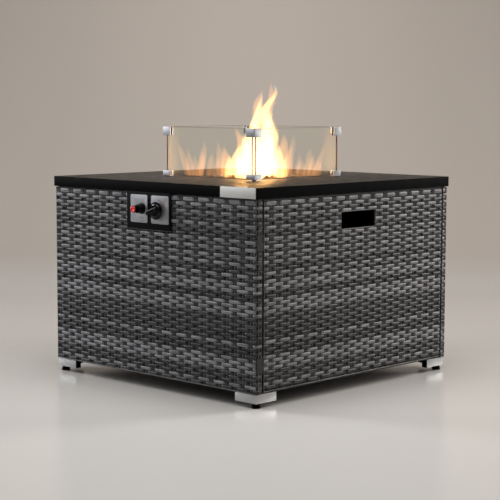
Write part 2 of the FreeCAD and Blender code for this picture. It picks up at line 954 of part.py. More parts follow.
def make_igniter():
    housing = new_body("housing")
    profile = sketch(housing, "XZ_Plane")
    polygon(
        profile,
        [
            ("0", "-tail_length - terminal_length"),
            ("terminal_radius", "-tail_length - terminal_length"),
            ("terminal_radius", "-tail_length"),
            ("tail_radius - 1", "-tail_length"),
            ("tail_radius", "-tail_length + 1"),
            ("tail_radius", "0"),
            ("skirt_radius", "0"),
            ("skirt_radius", "skirt_length - barrel_edge"),
            ("skirt_radius - barrel_edge", "skirt_length"),
            ("barrel_radius", "skirt_length"),
            ("barrel_radius", "barrel_length - barrel_edge"),
            ("barrel_radius - barrel_edge", "barrel_length"),
            ("igniter_bore", "barrel_length"),
            ("igniter_bore", "bore_floor"),
            ("0", "bore_floor"),
        ],
    )
    turned(housing, profile)
    place = ("igniter_shift", "-face_front", "igniter_level")
    put(housing, *place, turn=OUT)
    keep(housing, "igniter_housing")
    button = new_body("button")
    profile = sketch(button, "XZ_Plane")
    foot = "bore_floor + button_travel + button_stop_gap"
    tip = "barrel_length + button_proud"
    polygon(
        profile,
        [
            ("0", foot),
            ("button_radius", foot),
            ("button_radius", tip + " - 2"),
            ("button_radius - 0.6", tip + " - 0.6"),
            ("button_radius - 2", tip),
            ("button_radius - 4.5", tip),
            ("button_radius - 5.5", tip + " - 0.5"),
            ("0", tip + " - 0.5"),
        ],
    )
    turned(button, profile)
    put(button, *place, turn=OUT)
    keep(button, "igniter_button")
    nut = cut(
        "igniter_nut",
        hexagon(
            "igniter_nut_blank",
            "igniter_nut_radius",
            "igniter_nut_height",
            ("igniter_shift", "-skin_face", "igniter_level"),
            turn=IN,
        ),
        rod(
            "igniter_nut_bore",
            "tail_radius + running_gap",
            "igniter_nut_height",
            ("igniter_shift", "-skin_face", "igniter_level"),
            turn=IN,
        ),
    )
    keep(nut, "igniter_nut")


# Gas valve, its stem and the knob

def make_valve():
    axis = ("valve_shift", "valve_level")

    def rod_in(name, radius, start, length):
        """A rod on the valve's axis that starts at a depth behind the plate's front and runs inwards."""
        return rod(name, radius, length, (axis[0], f"-face_front + {start}", axis[1]), turn=IN)

    flange = box(
        "valve_flange",
        ("valve_shift - flange_width / 2", "-skin_face", "valve_level - flange_height / 2"),
        ("flange_width", "flange_sheet", "flange_height"),
    )
    casting = new_body("valve_casting")
    outline = sketch(casting, "XZ_Plane", "-valve_back")
    bind(outline, "AttachmentOffset.Base.z", "valve_back")
    rectangle(
        outline,
        "valve_shift - valve_width / 2",
        "valve_floor",
        "valve_shift + valve_width / 2",
        "valve_floor + valve_height",
    )
    pad(casting, outline, "valve_length")
    rounded(casting, "valve_round", lambda middle, along: abs(along.y) > 0.99)
    neck = rod_in("valve_neck", "neck_radius", "-neck_proud", "neck_proud + front_stack + flange_sheet")
    outlet = rod(
        "valve_outlet",
        "outlet_radius",
        "outlet_length",
        ("valve_shift", "-valve_back", "outlet_level"),
        turn=IN,
    )
    magnet = rod(
        "valve_magnet",
        "magnet_radius",
        "magnet_length",
        ("valve_shift", "-valve_back", "magnet_level"),
        turn=IN,
    )
    inlet = rod(
        "valve_inlet",
        "inlet_radius",
        "inlet_length + 2",
        ("valve_shift", "-inlet_place", "valve_floor + 2"),
        turn=DOWN,
    )
    body = joined("valve_body", [flange, casting, neck, outlet, magnet, inlet])
    seat_well = rod_in(
        "valve_seat_well",
        "seat_radius + running_gap",
        "-neck_proud",
        "seat_height + valve_travel + knob_rear",
    )
    stem_bore = rod_in("valve_stem_bore", "stem_radius + running_gap", "0", "stem_depth + knob_rear")
    screw_holes = [
        rod(
            f"valve_screw_hole_{number}",
            "screw_radius + loose_gap",
            "flange_sheet",
            (f"valve_shift {side} screw_spread", "-skin_face", "valve_level"),
            turn=IN,
        )
        for number, side in enumerate("-+", start=1)
    ]
    hollows = joined("valve_hollows", [seat_well, stem_bore] + screw_holes)
    keep(cut("gas_valve", body, hollows), "gas_valve")
    screws = []
    for number, side in enumerate("-+", start=1):
        place = (f"valve_shift {side} screw_spread", "-face_front", "valve_level")
        head = rod(f"valve_screw_head_{number}", "screw_head_radius", "face_sheet", place, turn=IN)
        shank = rod(
            f"valve_screw_shank_{number}", "screw_radius", "front_stack + flange_sheet", place, turn=IN
        )
        screws.append(joined(f"valve_screw_{number}", [head, shank]))
    keep(group("valve_screws", screws), "valve_screws")
    seat = cut(
        "spring_seat",
        rod_in("spring_seat_blank", "seat_radius", "-neck_proud", "seat_height"),
        rod_in("spring_seat_bore", "stem_radius + running_gap", "-neck_proud", "seat_height"),
    )
    keep(seat, "spring_seat")


def facing_knob():
    """The turn that brings a piece made along Z to the valve's axis, with its X at the pointer."""
    return OUT.multiply(Rotation(Vector(0, 0, 1), value("pointer_angle")))


def make_stem():
    stem = new_body("stem")
    shaft = circle(sketch(stem, level="-stem_depth"), "0", "0", "stem_radius")
    pad(stem, shaft, "stem_depth + stem_end")
    flat = sketch(stem, level="stem_end")
    rectangle(flat, "-stem_radius", "stem_radius - stem_flat", "stem_radius", "stem_radius + 1")
    pocket(stem, flat, "stem_flat_length")
    put(stem, "valve_shift", "-face_front", "valve_level", turn=facing_knob())
    keep(stem, "valve_stem")


def make_knob():
    knob = new_body("knob")
    profile = sketch(knob, "XZ_Plane")
    polygon(
        profile,
        [
            ("stem_radius + running_gap", "knob_rear + knob_hollow_height"),
            ("knob_hollow_radius", "knob_rear + knob_hollow_height"),
            ("knob_hollow_radius", "knob_rear"),
            ("knob_skirt_radius", "knob_rear"),
            ("knob_skirt_radius", "knob_rear + knob_skirt_height - 1"),
            ("knob_skirt_radius - 1", "knob_rear + knob_skirt_height"),
            ("knob_dome_radius + 1", "knob_rear + knob_skirt_height"),
            ("knob_dome_radius", "knob_rear + knob_skirt_height + 1"),
            ("knob_dome_radius - 1", "knob_dome_top - 1"),
            ("knob_dome_radius - 3", "knob_dome_top"),
            ("stem_radius + running_gap", "knob_dome_top"),
        ],
    )
    turned(knob, profile)
    grip = sketch(knob, level="knob_dome_top")
    rectangle(grip, "-grip_length / 2", "-grip_width / 2", "grip_length / 2", "grip_width / 2")
    pad(knob, grip, "grip_height")
    drop = sketch(knob, level="knob_dome_top")
    end = "grip_length / 2"
    for side in ("-", ""):
        inner = f"{side}(knob_dome_radius - 3)"
        outer = f"{side}{end}"
        rectangle(drop, inner, "-grip_width / 2", outer, "grip_width / 2")
    pad(knob, drop, "knob_dome_height", back=True)

    def grip_edge(middle, along):
        above = middle.z > value("knob_dome_top") + 1
        upright = abs(along.z) > 0.99
        return above and (upright or near(middle.z, "knob_top"))

    rounded(knob, "grip_round", grip_edge)
    bore = circle(sketch(knob, level="knob_dome_top"), "0", "0", "stem_radius + running_gap")
    pocket(knob, bore, "grip_height - stem_cover", back=True)
    key = sketch(knob, level="stem_end + loose_gap - stem_flat_length")
    rectangle(
        key,
        "-stem_radius",
        "stem_radius - stem_flat + running_gap",
        "stem_radius",
        "stem_radius + 1",
    )
    pad(knob, key, "stem_flat_length")
    mark = sketch(knob, level="knob_top")
    rectangle(
        mark,
        "grip_length / 2 - grip_round - pointer_length",
        "-pointer_width / 2",
        "grip_length / 2 - grip_round",
        "pointer_width / 2",
    )
    pocket(knob, mark, "pointer_depth")
    put(knob, "valve_shift", "-face_front", "valve_level", turn=facing_knob())
    keep(knob, "gas_knob")


def make_hose_tail():
    tail = new_body("hose_tail_body")
    profile = sketch(tail, "XZ_Plane")
    hex_foot = "-tail_hex_height"
    corners = [
        ("hose_tail_bore", "0"),
        ("hose_radius + 2", "0"),
        ("hose_radius + 2", hex_foot),
        ("hose_radius", hex_foot),
    ]
    for groove in range(2):
        top = f"{hex_foot} - hose_plain_length - {groove} * hose_groove_pitch"
        corners += [
            ("hose_radius", top),
            ("hose_radius - hose_groove", top),
            ("hose_radius - hose_groove", f"{top} - hose_groove_width"),
            ("hose_radius", f"{top} - hose_groove_width"),
        ]
    tip = f"{hex_foot} - hose_plain_length - 2 * hose_groove_pitch"
    corners += [("hose_radius", tip), ("hose_radius - 1", f"{tip} - 1"), ("hose_tail_bore", f"{tip} - 1")]
    polygon(profile, corners)
    turned(tail, profile)
    put(tail, "valve_shift", "-inlet_place", "hose_tail_top")
    nut = hexagon(
        "hose_tail_hex",
        "tail_hex_radius",
        "tail_hex_height",
        ("valve_shift", "-inlet_place", "hose_tail_top - tail_hex_height"),
    )
    bore = rod(
        "hose_tail_hex_bore",
        "hose_tail_bore",
        "tail_hex_height",
        ("valve_shift", "-inlet_place", "hose_tail_top - tail_hex_height"),
    )
    keep(joined("hose_tail", [tail, cut("hose_tail_nut", nut, bore)]), "hose_tail")


# Paths of pipes and leads

def rounded_path(points, bend):
    """A wire of straight runs joined by tangent arcs, one arc at each inner point."""
    edges = []
    start = points[0]
    for before, corner, after in zip(points, points[1:], points[2:]):
        back = (before - corner).normalize()
        ahead = (after - corner).normalize()
        half_turn = (math.pi - back.getAngle(ahead)) / 2
        reach = bend * math.tan(half_turn)
        centre_way = (back + ahead).normalize()
        centre = corner + centre_way * (bend / math.cos(half_turn))
        first = corner + back * reach
        last = corner + ahead * reach
        edges.append(Part.LineSegment(start, first).toShape())
        edges.append(Part.Arc(first, centre - centre_way * bend, last).toShape())
        start = last
    edges.append(Part.LineSegment(start, points[-1]).toShape())
    return Part.Wire(edges)


def tube(points, bend, radius):
    """A solid round bar along the rounded path."""
    path = rounded_path(points, bend)
    ring = Part.Circle(points[0], points[1] - points[0], radius).toShape()
    bar = path.makePipeShell([Part.Wire([ring])], True, False)
    expected = math.pi * radius ** 2 * path.Length
    if abs(bar.Volume - expected) > 0.01 * expected:
        raise ValueError("a tube's volume isn't its section times its length")
    return bar


def point(x, y, z):
    return Vector(value(x), value(y), value(z))


# Burner pan, burner and lava rocks

def make_pan():
    pan = new_body("pan")
    floor = square(sketch(pan, level="pan_bottom"), "pan_half")
    pad(pan, floor, "pan_sheet")
    walls = square_ring(sketch(pan, level="pan_bottom"), "pan_half", "pan_inner")
    pad(pan, walls, "pan_depth")
    rim = square_ring(sketch(pan, level="table_height"), "pan_half + pan_rim", "pan_inner")
    pad(pan, rim, "pan_sheet")
    holes = sketch(pan, level="pan_floor")
    circle(holes, "0", "0", "spigot_radius + spigot_hole_gap")
    for x in ("-pan_drain_spread", "pan_drain_spread"):
        for y in ("-pan_drain_spread", "pan_drain_spread"):
            circle(holes, x, y, "pan_drain_radius")
    for x in ("-pilot_spread", "pilot_spread"):
        circle(holes, x, "-pilot_offset", "lead_hole_radius")
    pocket(pan, holes, "pan_sheet")
    keep(pan, "burner_pan")


def make_burner():
    burner = new_body("burner")
    ring = sketch(burner, "XZ_Plane")
    circle(ring, "burner_ring_radius", "burner_level", "burner_tube_radius")
    turned(burner, ring)
    cross = sketch(burner, "YZ_Plane")
    circle(cross, "0", "burner_level", "cross_tube_radius")
    pad(burner, cross, "2 * burner_ring_radius", side="Symmetric")
    spigot = sketch(burner, level="spigot_bottom")
    circle(spigot, "0", "0", "spigot_radius")
    pad(burner, spigot, "burner_level - spigot_bottom")
    flange = sketch(burner, level="pan_floor")
    circle(flange, "0", "0", "spigot_flange_radius")
    pad(burner, flange, "spigot_flange_height")
    hollow = sketch(burner, "XZ_Plane")
    circle(hollow, "burner_ring_radius", "burner_level", "burner_tube_radius - burner_wall")
    turned(burner, hollow, "Groove")
    hollow = sketch(burner, "YZ_Plane")
    circle(hollow, "0", "burner_level", "cross_tube_radius - burner_wall")
    pocket(burner, hollow, "2 * burner_ring_radius", side="Symmetric")
    hollow = sketch(burner, level="burner_level")
    circle(hollow, "0", "0", "cross_tube_radius - burner_wall")
    pocket(burner, hollow, "burner_level - spigot_bottom")
    port = sketch(burner, level="burner_level + burner_tube_radius")
    circle(port, "burner_ring_radius", "0", "port_radius")
    ports = pocket(burner, port, "burner_tube_radius")
    repeated(burner, [ports], "port_count")
    keep(burner, "burner_ring")
    foot = ("0", "0", "pan_bottom - lock_nut_height")
    nut = cut(
        "lock_nut",
        hexagon("lock_nut_blank", "lock_nut_radius", "lock_nut_height", foot),
        rod("lock_nut_bore", "spigot_radius + running_gap", "lock_nut_height", foot),
    )
    keep(nut, "burner_lock_nut")


def rock(centre, size, height, dice):
    """A broken stone with twenty flat faces, cut flat where it lies; centre is on its seat."""
    golden = (1 + math.sqrt(5)) / 2
    ways = []
    for short in (-1, 1):
        for long in (-golden, golden):
            ways += [Vector(0, short, long), Vector(short, long, 0), Vector(long, 0, short)]
    turn = Rotation(Vector(0, 0, 1), dice.uniform(0, 360))
    tilt = Rotation(Vector(1, 0, 0), dice.uniform(0, 60))
    half_height = height / 1.8
    corners = []
    for way in ways:
        way = turn.multVec(tilt.multVec(way)).normalize()
        reach = dice.uniform(0.84, 1.0)
        corners.append(
            Vector(way.x * reach * size / 2, way.y * reach * size / 2, way.z * reach * half_height)
        )
    raised = Vector(centre.x, centre.y, centre.z + 0.8 * half_height)
    faces = []
    for first in range(12):
        for second in range(first + 1, 12):
            for third in range(second + 1, 12):
                trio = (ways[first], ways[second], ways[third])
                sides = [(trio[0] - trio[1]).Length, (trio[1] - trio[2]).Length, (trio[2] - trio[0]).Length]
                if max(sides) < 2.01:
                    line = [corners[first] + raised, corners[second] + raised, corners[third] + raised]
                    faces.append(Part.Face(Part.makePolygon(line + line[:1])))
    stone = Part.Solid(Part.Shell(faces))
    if stone.Volume < 0:
        stone.reverse()
    space = Part.makeBox(size * 2, size * 2, height * 2, centre - Vector(size, size, 0))
    return stone.common(space).Solids[0]


def make_rocks():
    """Rocks along the pan's walls, a ring of them on the burner and one in the middle."""
    dice = random.Random(7)
    stones = []
    floor = value("pan_floor")
    size = value("rock_size")
    row = value("pan_inner - rock_wall_gap - rock_size / 2")
    steps = [row * step / 2 for step in range(-2, 3)]
    for x in steps:
        for y in steps:
            beside_pilot = x == 0 and y == -row
            if max(abs(x), abs(y)) < row or beside_pilot:
                continue
            stones.append(rock(Vector(x, y, floor), size, value("rock_height"), dice))
    seat = value("burner_level + burner_tube_radius + rock_seat_gap")
    for turn in range(-45, 226, 45):
        way = Rotation(Vector(0, 0, 1), turn).multVec(Vector(value("top_rock_reach"), 0, 0))
        centre = way + Vector(0, 0, seat)
        stones.append(rock(centre, value("top_rock_size"), value("top_rock_height"), dice))
    middle = point("0", "0", "burner_level + cross_tube_radius + rock_seat_gap")
    stones.append(rock(middle, value("middle_rock_size"), value("middle_rock_height"), dice))
    keep(from_shape("rocks", Part.makeCompound(stones)), "lava_rocks")


# Mixer tube, air shutter, jet holder and the pipe from the valve

def window_tools(name, radius):
    """Two crossing blocks that open four windows in a tube on the mixer's axis."""
    near_end = "-air_window_near - air_window_length"
    across = box(
        name + "_across",
        (f"-({radius}) - 1", near_end, "mixer_level - air_window_width / 2"),
        (f"2 * ({radius}) + 2", "air_window_length", "air_window_width"),
    )
    upright = box(
        name + "_upright",
        ("-air_window_width / 2", near_end, f"mixer_level - ({radius}) - 1"),
        ("air_window_width", "air_window_length", f"2 * ({radius}) + 2"),
    )
    return joined(name, [across, upright])


def make_mixer():
    route = [
        point("0", "0", "mixer_top"),
        point("0", "0", "mixer_level"),
        point("0", "-mixer_reach", "mixer_level"),
    ]
    bend = value("mixer_bend")
    shell = tube(route, bend, value("mixer_radius")).cut(tube(route, bend, value("mixer_bore")))
    mixer = cut("mixer", from_shape("mixer_shell", shell), window_tools("mixer_windows", "mixer_radius"))
    keep(mixer, "mixer_tube")
    shutter_place = ("0", "-shutter_near", "mixer_level")
    sleeve = cut(
        "shutter_sleeve",
        rod("shutter_blank", "shutter_bore + shutter_wall", "shutter_length", shutter_place, turn=OUT),
        rod("shutter_hole", "shutter_bore", "shutter_length", shutter_place, turn=OUT),
    )
    opened = cut("shutter_opened", sleeve, window_tools("shutter_windows", "shutter_bore + shutter_wall"))
    lug = box(
        "shutter_lug_block",
        (
            "shutter_bore + shutter_wall * 0.4",
            "-shutter_near - (shutter_length - air_window_length) / 2",
            "mixer_level - 1.5",
        ),
        ("shutter_lug", "(shutter_length - air_window_length) / 2", "3"),
    )
    keep(joined("shutter", [opened, lug]), "air_shutter")
    plug = rod("jet_plug", "mixer_radius", "jet_plug_length", ("0", "-mixer_reach", "mixer_level"), turn=OUT)
    nose = rod(
        "jet_nose",
        "mixer_bore - running_gap",
        "jet_nose_length",
        ("0", "-mixer_reach", "mixer_level"),
        turn=IN,
    )
    nozzle = rod(
        "jet_nozzle",
        "jet_nozzle_radius",
        "jet_nose_length + jet_nozzle_length",
        ("0", "-mixer_reach", "mixer_level"),
        turn=IN,
    )
    hex_end = hexagon(
        "jet_hex",
        "jet_hex_radius",
        "jet_hex_length",
        ("0", "-mixer_reach - jet_plug_length", "mixer_level"),
        turn=OUT,
    )
    pipe_seat = rod(
        "jet_pipe_seat",
        "pipe_radius + loose_gap",
        "pipe_seat_depth",
        ("0", "-jet_back", "mixer_level"),
        turn=IN,
    )
    keep(cut("jet", joined("jet_blank", [plug, nose, nozzle, hex_end]), pipe_seat), "jet_holder")


def make_gas_pipe():
    start = point("valve_shift", "-valve_back + outlet_length", "outlet_level")
    end = point("0", "-jet_back + pipe_seat_depth", "mixer_level")
    run = Vector(0, value("pipe_run"), 0)
    route = [start, start + run, end - run, end]
    keep(from_shape("pipe", tube(route, value("pipe_bend"), value("pipe_radius"))), "gas_pipe")
    place = ("valve_shift", "-valve_back + outlet_length", "outlet_level")
    nut = cut(
        "pipe_nut",
        hexagon("pipe_nut_blank", "pipe_nut_radius", "pipe_nut_length", place, turn=IN),
        rod("pipe_nut_bore", "pipe_radius + loose_gap", "pipe_nut_length", place, turn=IN),
    )
    keep(nut, "pipe_nut")


# Pilot bracket, spark electrode and thermocouple beside the burner, with their leads

def make_pilot():
    bracket = new_body("pilot")
    section = sketch(bracket, "YZ_Plane")
    near_side = "-pilot_offset - pilot_length / 2"
    far_side = "-pilot_offset + pilot_length / 2"
    polygon(
        section,
        [
            (near_side, "pan_floor"),
            (far_side, "pan_floor"),
            (far_side, "pilot_top"),
            (near_side, "pilot_top"),
            (near_side, "pilot_top - pilot_sheet"),
            (far_side + " - pilot_sheet", "pilot_top - pilot_sheet"),
            (far_side + " - pilot_sheet", "pan_floor + pilot_sheet"),
            (near_side, "pan_floor + pilot_sheet"),
        ],
    )
    pad(bracket, section, "pilot_width", side="Symmetric")
    holes = sketch(bracket, level="pilot_top")
    circle(holes, "-pilot_spread", "-pilot_offset", "ceramic_radius + running_gap")
    circle(holes, "pilot_spread", "-pilot_offset", "probe_radius + running_gap")
    pocket(bracket, holes, "pilot_sheet")
    holes = sketch(bracket, level="pan_floor + pilot_sheet")
    for x in ("-pilot_spread", "pilot_spread"):
        circle(holes, x, "-pilot_offset", "ceramic_radius + running_gap")
    pocket(bracket, holes, "pilot_sheet")
    keep(bracket, "pilot_bracket")
    ceramic = rod(
        "ceramic",
        "ceramic_radius",
        "ceramic_drop + ceramic_rise",
        ("-pilot_spread", "-pilot_offset", "pilot_top - ceramic_drop"),
    )
    spark_route = [
        point("-pilot_spread", "-pilot_offset", "pilot_top + ceramic_rise"),
        point("-pilot_spread", "-pilot_offset", "pilot_top + ceramic_rise + spark_rise"),
        point("-pilot_spread", "-pilot_offset + spark_reach", "pilot_top + ceramic_rise + spark_rise"),
    ]
    spark = from_shape("spark_wire", tube(spark_route, value("2 * spark_radius"), value("spark_radius")))
    keep(joined("electrode", [ceramic, spark]), "spark_electrode")
    probe = new_body("probe")
    profile = sketch(probe, "XZ_Plane")
    polygon(
        profile,
        [
            ("0", "pilot_top - ceramic_drop"),
            ("probe_radius", "pilot_top - ceramic_drop"),
            ("probe_radius", "pilot_top + probe_rise - 1.5"),
            ("probe_radius - 1", "pilot_top + probe_rise"),
            ("0", "pilot_top + probe_rise"),
        ],
    )
    turned(probe, profile)
    put(probe, "pilot_spread", "-pilot_offset")
    keep(probe, "thermocouple")


def make_leads():
    ends = (
        (
            "spark_lead",
            "-pilot_spread",
            "igniter_shift",
            "igniter_back",
            "igniter_level",
            "spark_lead_radius",
        ),
        (
            "thermocouple_lead",
            "pilot_spread",
            "valve_shift",
            "valve_back - magnet_length",
            "magnet_level",
            "probe_lead_radius",
        ),
    )
    for label, pilot_x, far_x, far_y, far_level, radius in ends:
        start = point(pilot_x, "-pilot_offset", "pilot_top - ceramic_drop")
        under_pan = point(pilot_x, "-pilot_offset", "pan_bottom - lead_level_drop")
        end = point(far_x, f"-({far_y})", far_level)
        before_end = end + Vector(0, value("pipe_run"), 0)
        route = [start, under_pan, before_end, end]
        keep(from_shape(label, tube(route, value("lead_bend"), value(radius))), label)


# Wind guard

def make_clips(label, low, height, floor):
    """Four corner clips; floor is the thickness under the glass, or nothing for a slot right through."""
    clips = new_body(label)
    plan = sketch(clips, level=low)
    far = "guard_half - clip_leg"
    polygon(
        plan,
        [
            ("guard_half", "guard_half"),
            (far, "guard_half"),
            (far, "clip_inner"),
            ("clip_inner", "clip_inner"),
            ("clip_inner", far),
            ("guard_half", far),
        ],
    )
    pad(clips, plan, height)

    def long_edge(middle, along):
        return abs(along.z) > 0.99 and near(middle.x, "guard_half") and near(middle.y, "guard_half")

    rounded(clips, "clip_round", long_edge)
    slots = sketch(clips, level=f"{low} + {height}")
    outer = "glass_outer + glass_gap"
    inner = "glass_outer - glass_thickness - glass_gap"
    end = "glass_end + glass_gap"
    rectangle(slots, far, inner, end, outer)
    rectangle(slots, inner, far, outer, end)
    pocket(clips, slots, f"{height} - {floor}" if floor else height)
    for plane, side, back in (("XZ_Plane", "-clip_inner", False), ("YZ_Plane", "clip_inner", True)):
        grub = sketch(clips, plane, side)
        circle(grub, "guard_half - grub_inset", f"{low} + {height} - grub_rise", "grub_radius + running_gap")
        pocket(clips, grub, "(clip_thickness - glass_thickness) / 2", back=back)
    whole = clips.newObject("PartDesign::PolarPattern", label + "_pattern")
    whole.TransformMode = "Whole shape"
    whole.Axis = (datum(clips, "Z_Axis"), [""])
    whole.Angle = 360
    whole.Occurrences = 4
    clips.Tip = whole
    keep(clips, label)


def make_guard():
    make_clips("top_clips", "guard_top - top_clip_height", "top_clip_height", "")
    make_clips("bottom_clips", "clip_bottom", "bottom_clip_height", "clip_floor")
    grubs = new_body("grub_screws")
    levels = ("guard_top - grub_rise", "clip_bottom + bottom_clip_height - grub_rise")
    screws = []
    for plane, side, back in (("XZ_Plane", "-clip_inner", True), ("YZ_Plane", "clip_inner", False)):
        drawing = sketch(grubs, plane, side)
        for level in levels:
            circle(drawing, "guard_half - grub_inset", level, "grub_radius")
        screws.append(pad(grubs, drawing, "(clip_thickness - glass_thickness) / 2 - glass_gap", back=back))
    repeated(grubs, screws)
    keep(grubs, "clip_screws")
    pads = new_body("pads")
    plan = sketch(pads, level="pad_bottom")
    low = "clip_inner + pad_inset"
    high = "guard_half - pad_inset"
    rectangle(plan, low, low, high, high)
    repeated(pads, [pad(pads, plan, "pad_height")])
    keep(pads, "guard_pads")
    for label, turn in (("glass_front", 0), ("glass_right", 90), ("glass_rear", 180), ("glass_left", 270)):
        pane = new_body(label)
        outline = sketch(pane, "XZ_Plane", "glass_outer - glass_thickness")
        rectangle(outline, "-glass_end", "glass_bottom", "glass_end", "guard_top")
        pad(pane, outline, "glass_thickness")
        rounded(pane, "glass_thickness / 5", lambda middle, along: near(middle.z, "guard_top"))
        put(pane, turn=Rotation(Vector(0, 0, 1), turn))
        keep(pane, label)


# Door

def make_door():
    door = new_body("door")
    outline = sketch(door, "YZ_Plane", "door_back")
    rectangle(outline, "-door_half", "door_bottom", "door_half", "door_top")
    rectangle(outline, "-slot_width / 2", "slot_bottom", "slot_width / 2", "slot_top")
    pad(door, outline, "skin_face - door_back")

    def outer_edge(middle, along):
        return abs(along.z) > 0.99 and near(middle.x, "skin_face") and near(abs(middle.y), "door_half")

    rounded(door, "door_round", outer_edge)

    def slot_corner(middle, along):
        return abs(along.x) > 0.99 and near(abs(middle.y), "slot_width / 2")

    rounded(door, "slot_round", slot_corner)
    for level in ("lower_hinge_height", "upper_hinge_height"):
        recess = sketch(door, "YZ_Plane", "door_back")
        low = f"{level} + hinge_barrel_length + hinge_barrel_gap"
        rectangle(
            recess,
            "-door_half - 1",
            f"{low} - leaf_pocket_gap",
            "-hinge_line + leaf_length + leaf_pocket_gap",
            f"{low} + hinge_barrel_length + leaf_pocket_gap",
        )
        pocket(door, recess, "leaf_sheet + leaf_pocket_gap", back=True)
    row_grooves(door, "XZ_Plane", "skin_face")
    keep(door, "door_rattan")
    tubes = []
    height = "door_frame_top - door_frame_bottom"
    for number, y in enumerate(("-door_frame_half", "door_frame_half - door_tube"), start=1):
        tubes.append(door_tube(f"door_stile_{number}", y, "door_frame_bottom", "door_tube", height))
    width = "2 * door_frame_half - 2 * door_tube"
    for number, z in enumerate(("door_frame_bottom", "door_frame_top - door_tube"), start=1):
        tubes.append(door_tube(f"door_rail_{number}", "-door_frame_half + door_tube", z, width, "door_tube"))
    keep(group("door_tubes", tubes), "door_frame")


def door_tube(name, y, z, width, height):
    """One hollow tube of the door's frame, open at its ends."""
    block = box(name + "_blank", ("door_frame_back", y, z), ("door_tube", width, height))
    upright = height != "door_tube"
    wall = "tube_wall"
    room_y = (f"{y} + {wall}", f"{width} - 2 * {wall}") if upright else (y, width)
    room_z = (z, height) if upright else (f"{z} + {wall}", f"{height} - 2 * {wall}")
    room = box(
        name + "_room",
        (f"door_frame_back + {wall}", room_y[0], room_z[0]),
        (f"door_tube - 2 * {wall}", room_y[1], room_z[1]),
    )
    return cut(name, block, room)


def make_hinges():
    barrels, leaves, pins = [], [], []
    for number, level in enumerate(("lower_hinge_height", "upper_hinge_height"), start=1):
        upper = f"{level} + hinge_barrel_length + hinge_barrel_gap"
        barrel = rod(
            f"barrel_{number}", "hinge_radius", "hinge_barrel_length", ("hinge_out", "-hinge_line", level)
        )
        plate = box(
            f"hinge_plate_{number}",
            ("hinge_plate_back", "-strip_edge - hinge_plate_width", level),
            ("hinge_plate_sheet", "hinge_plate_width", "hinge_height"),
        )
        neck = box(
            f"hinge_neck_{number}",
            ("hinge_plate_back", "-strip_edge", level),
            ("hinge_plate_sheet", "strip_edge - hinge_line", "hinge_barrel_length"),
        )
        bore = rod(
            f"barrel_bore_{number}",
            "hinge_pin_radius + running_gap",
            "hinge_barrel_length",
            ("hinge_out", "-hinge_line", level),
        )
        blank = joined(f"barrel_blank_{number}", [barrel, plate, neck])
        barrels.append(cut(f"hinge_barrel_{number}", blank, bore))
        eye_foot = ("hinge_out", "-hinge_line", upper)
        eye = rod(f"eye_{number}", "hinge_radius", "hinge_barrel_length", eye_foot)
        leaf = box(
            f"leaf_plate_{number}",
            ("door_back", "-hinge_line", upper),
            ("leaf_sheet", "leaf_length", "hinge_barrel_length"),
        )
        eye_bore = rod(
            f"eye_bore_{number}",
            "hinge_pin_radius + running_gap",
            "hinge_barrel_length",
            eye_foot,
        )
        leaves.append(cut(f"hinge_leaf_{number}", joined(f"leaf_blank_{number}", [eye, leaf]), eye_bore))
        foot = ("hinge_out", "-hinge_line", level)
        pins.append(rod(f"hinge_pin_{number}", "hinge_pin_radius", "hinge_height", foot))
    keep(group("barrels", barrels), "hinge_barrels")
    keep(group("leaves", leaves), "hinge_leaves")
    keep(group("pins", pins), "hinge_pins")


def make_catch():
    start_y = "catch_middle - catch_width / 2"
    holder = box(
        "catch_body",
        ("catch_face - catch_depth", start_y, "rail_bottom - catch_height"),
        ("catch_depth", "catch_width", "catch_height"),
    )
    flange = box(
        "catch_ear",
        ("catch_face - catch_depth", start_y, "rail_bottom - catch_sheet"),
        ("catch_flange", "catch_width", "catch_sheet"),
    )
    keep(joined("catch", [holder, flange]), "magnet_catch")
    strike = box(
        "strike",
        (
            "strike_face",
            "catch_middle - strike_width / 2",
            "door_frame_top - (door_tube + strike_height) / 2",
        ),
        ("strike_sheet", "strike_width", "strike_height"),
    )
    keep(strike, "strike_plate")


make_tabletop()
make_frame()
make_weave()
make_shelf()
make_feet()
make_panel()
make_igniter()
make_valve()
make_stem()
make_knob()
make_hose_tail()
make_pan()
make_burner()
make_rocks()
make_mixer()
make_gas_pipe()
make_pilot()
make_leads()
make_guard()
make_door()
make_hinges()
make_catch()
doc.recompute()

faults = [thing.Name for thing in doc.Objects if {"Invalid", "Error"} & set(thing.State)]
faults += [piece.Label for piece in pieces if piece.Shape.isNull() or not piece.Shape.isValid()]
if faults:
    raise ValueError("these objects failed: " + ", ".join(faults))

os.makedirs("parts", exist_ok=True)
for piece in pieces:
    piece.Shape.exportStep(f"parts/{piece.Label}.step")
print(len(pieces), "sub-parts,", sum(len(piece.Shape.Solids) for piece in pieces), "solids")
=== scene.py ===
"""The look of a square gas fire pit table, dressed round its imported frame.

Sizes are in metres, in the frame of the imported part: the floor is z = 0, the control panel
faces -Y and the door faces +X.
"""

import json
import math
import random

import bmesh
import bpy
from mathutils import Matrix, Vector, noise


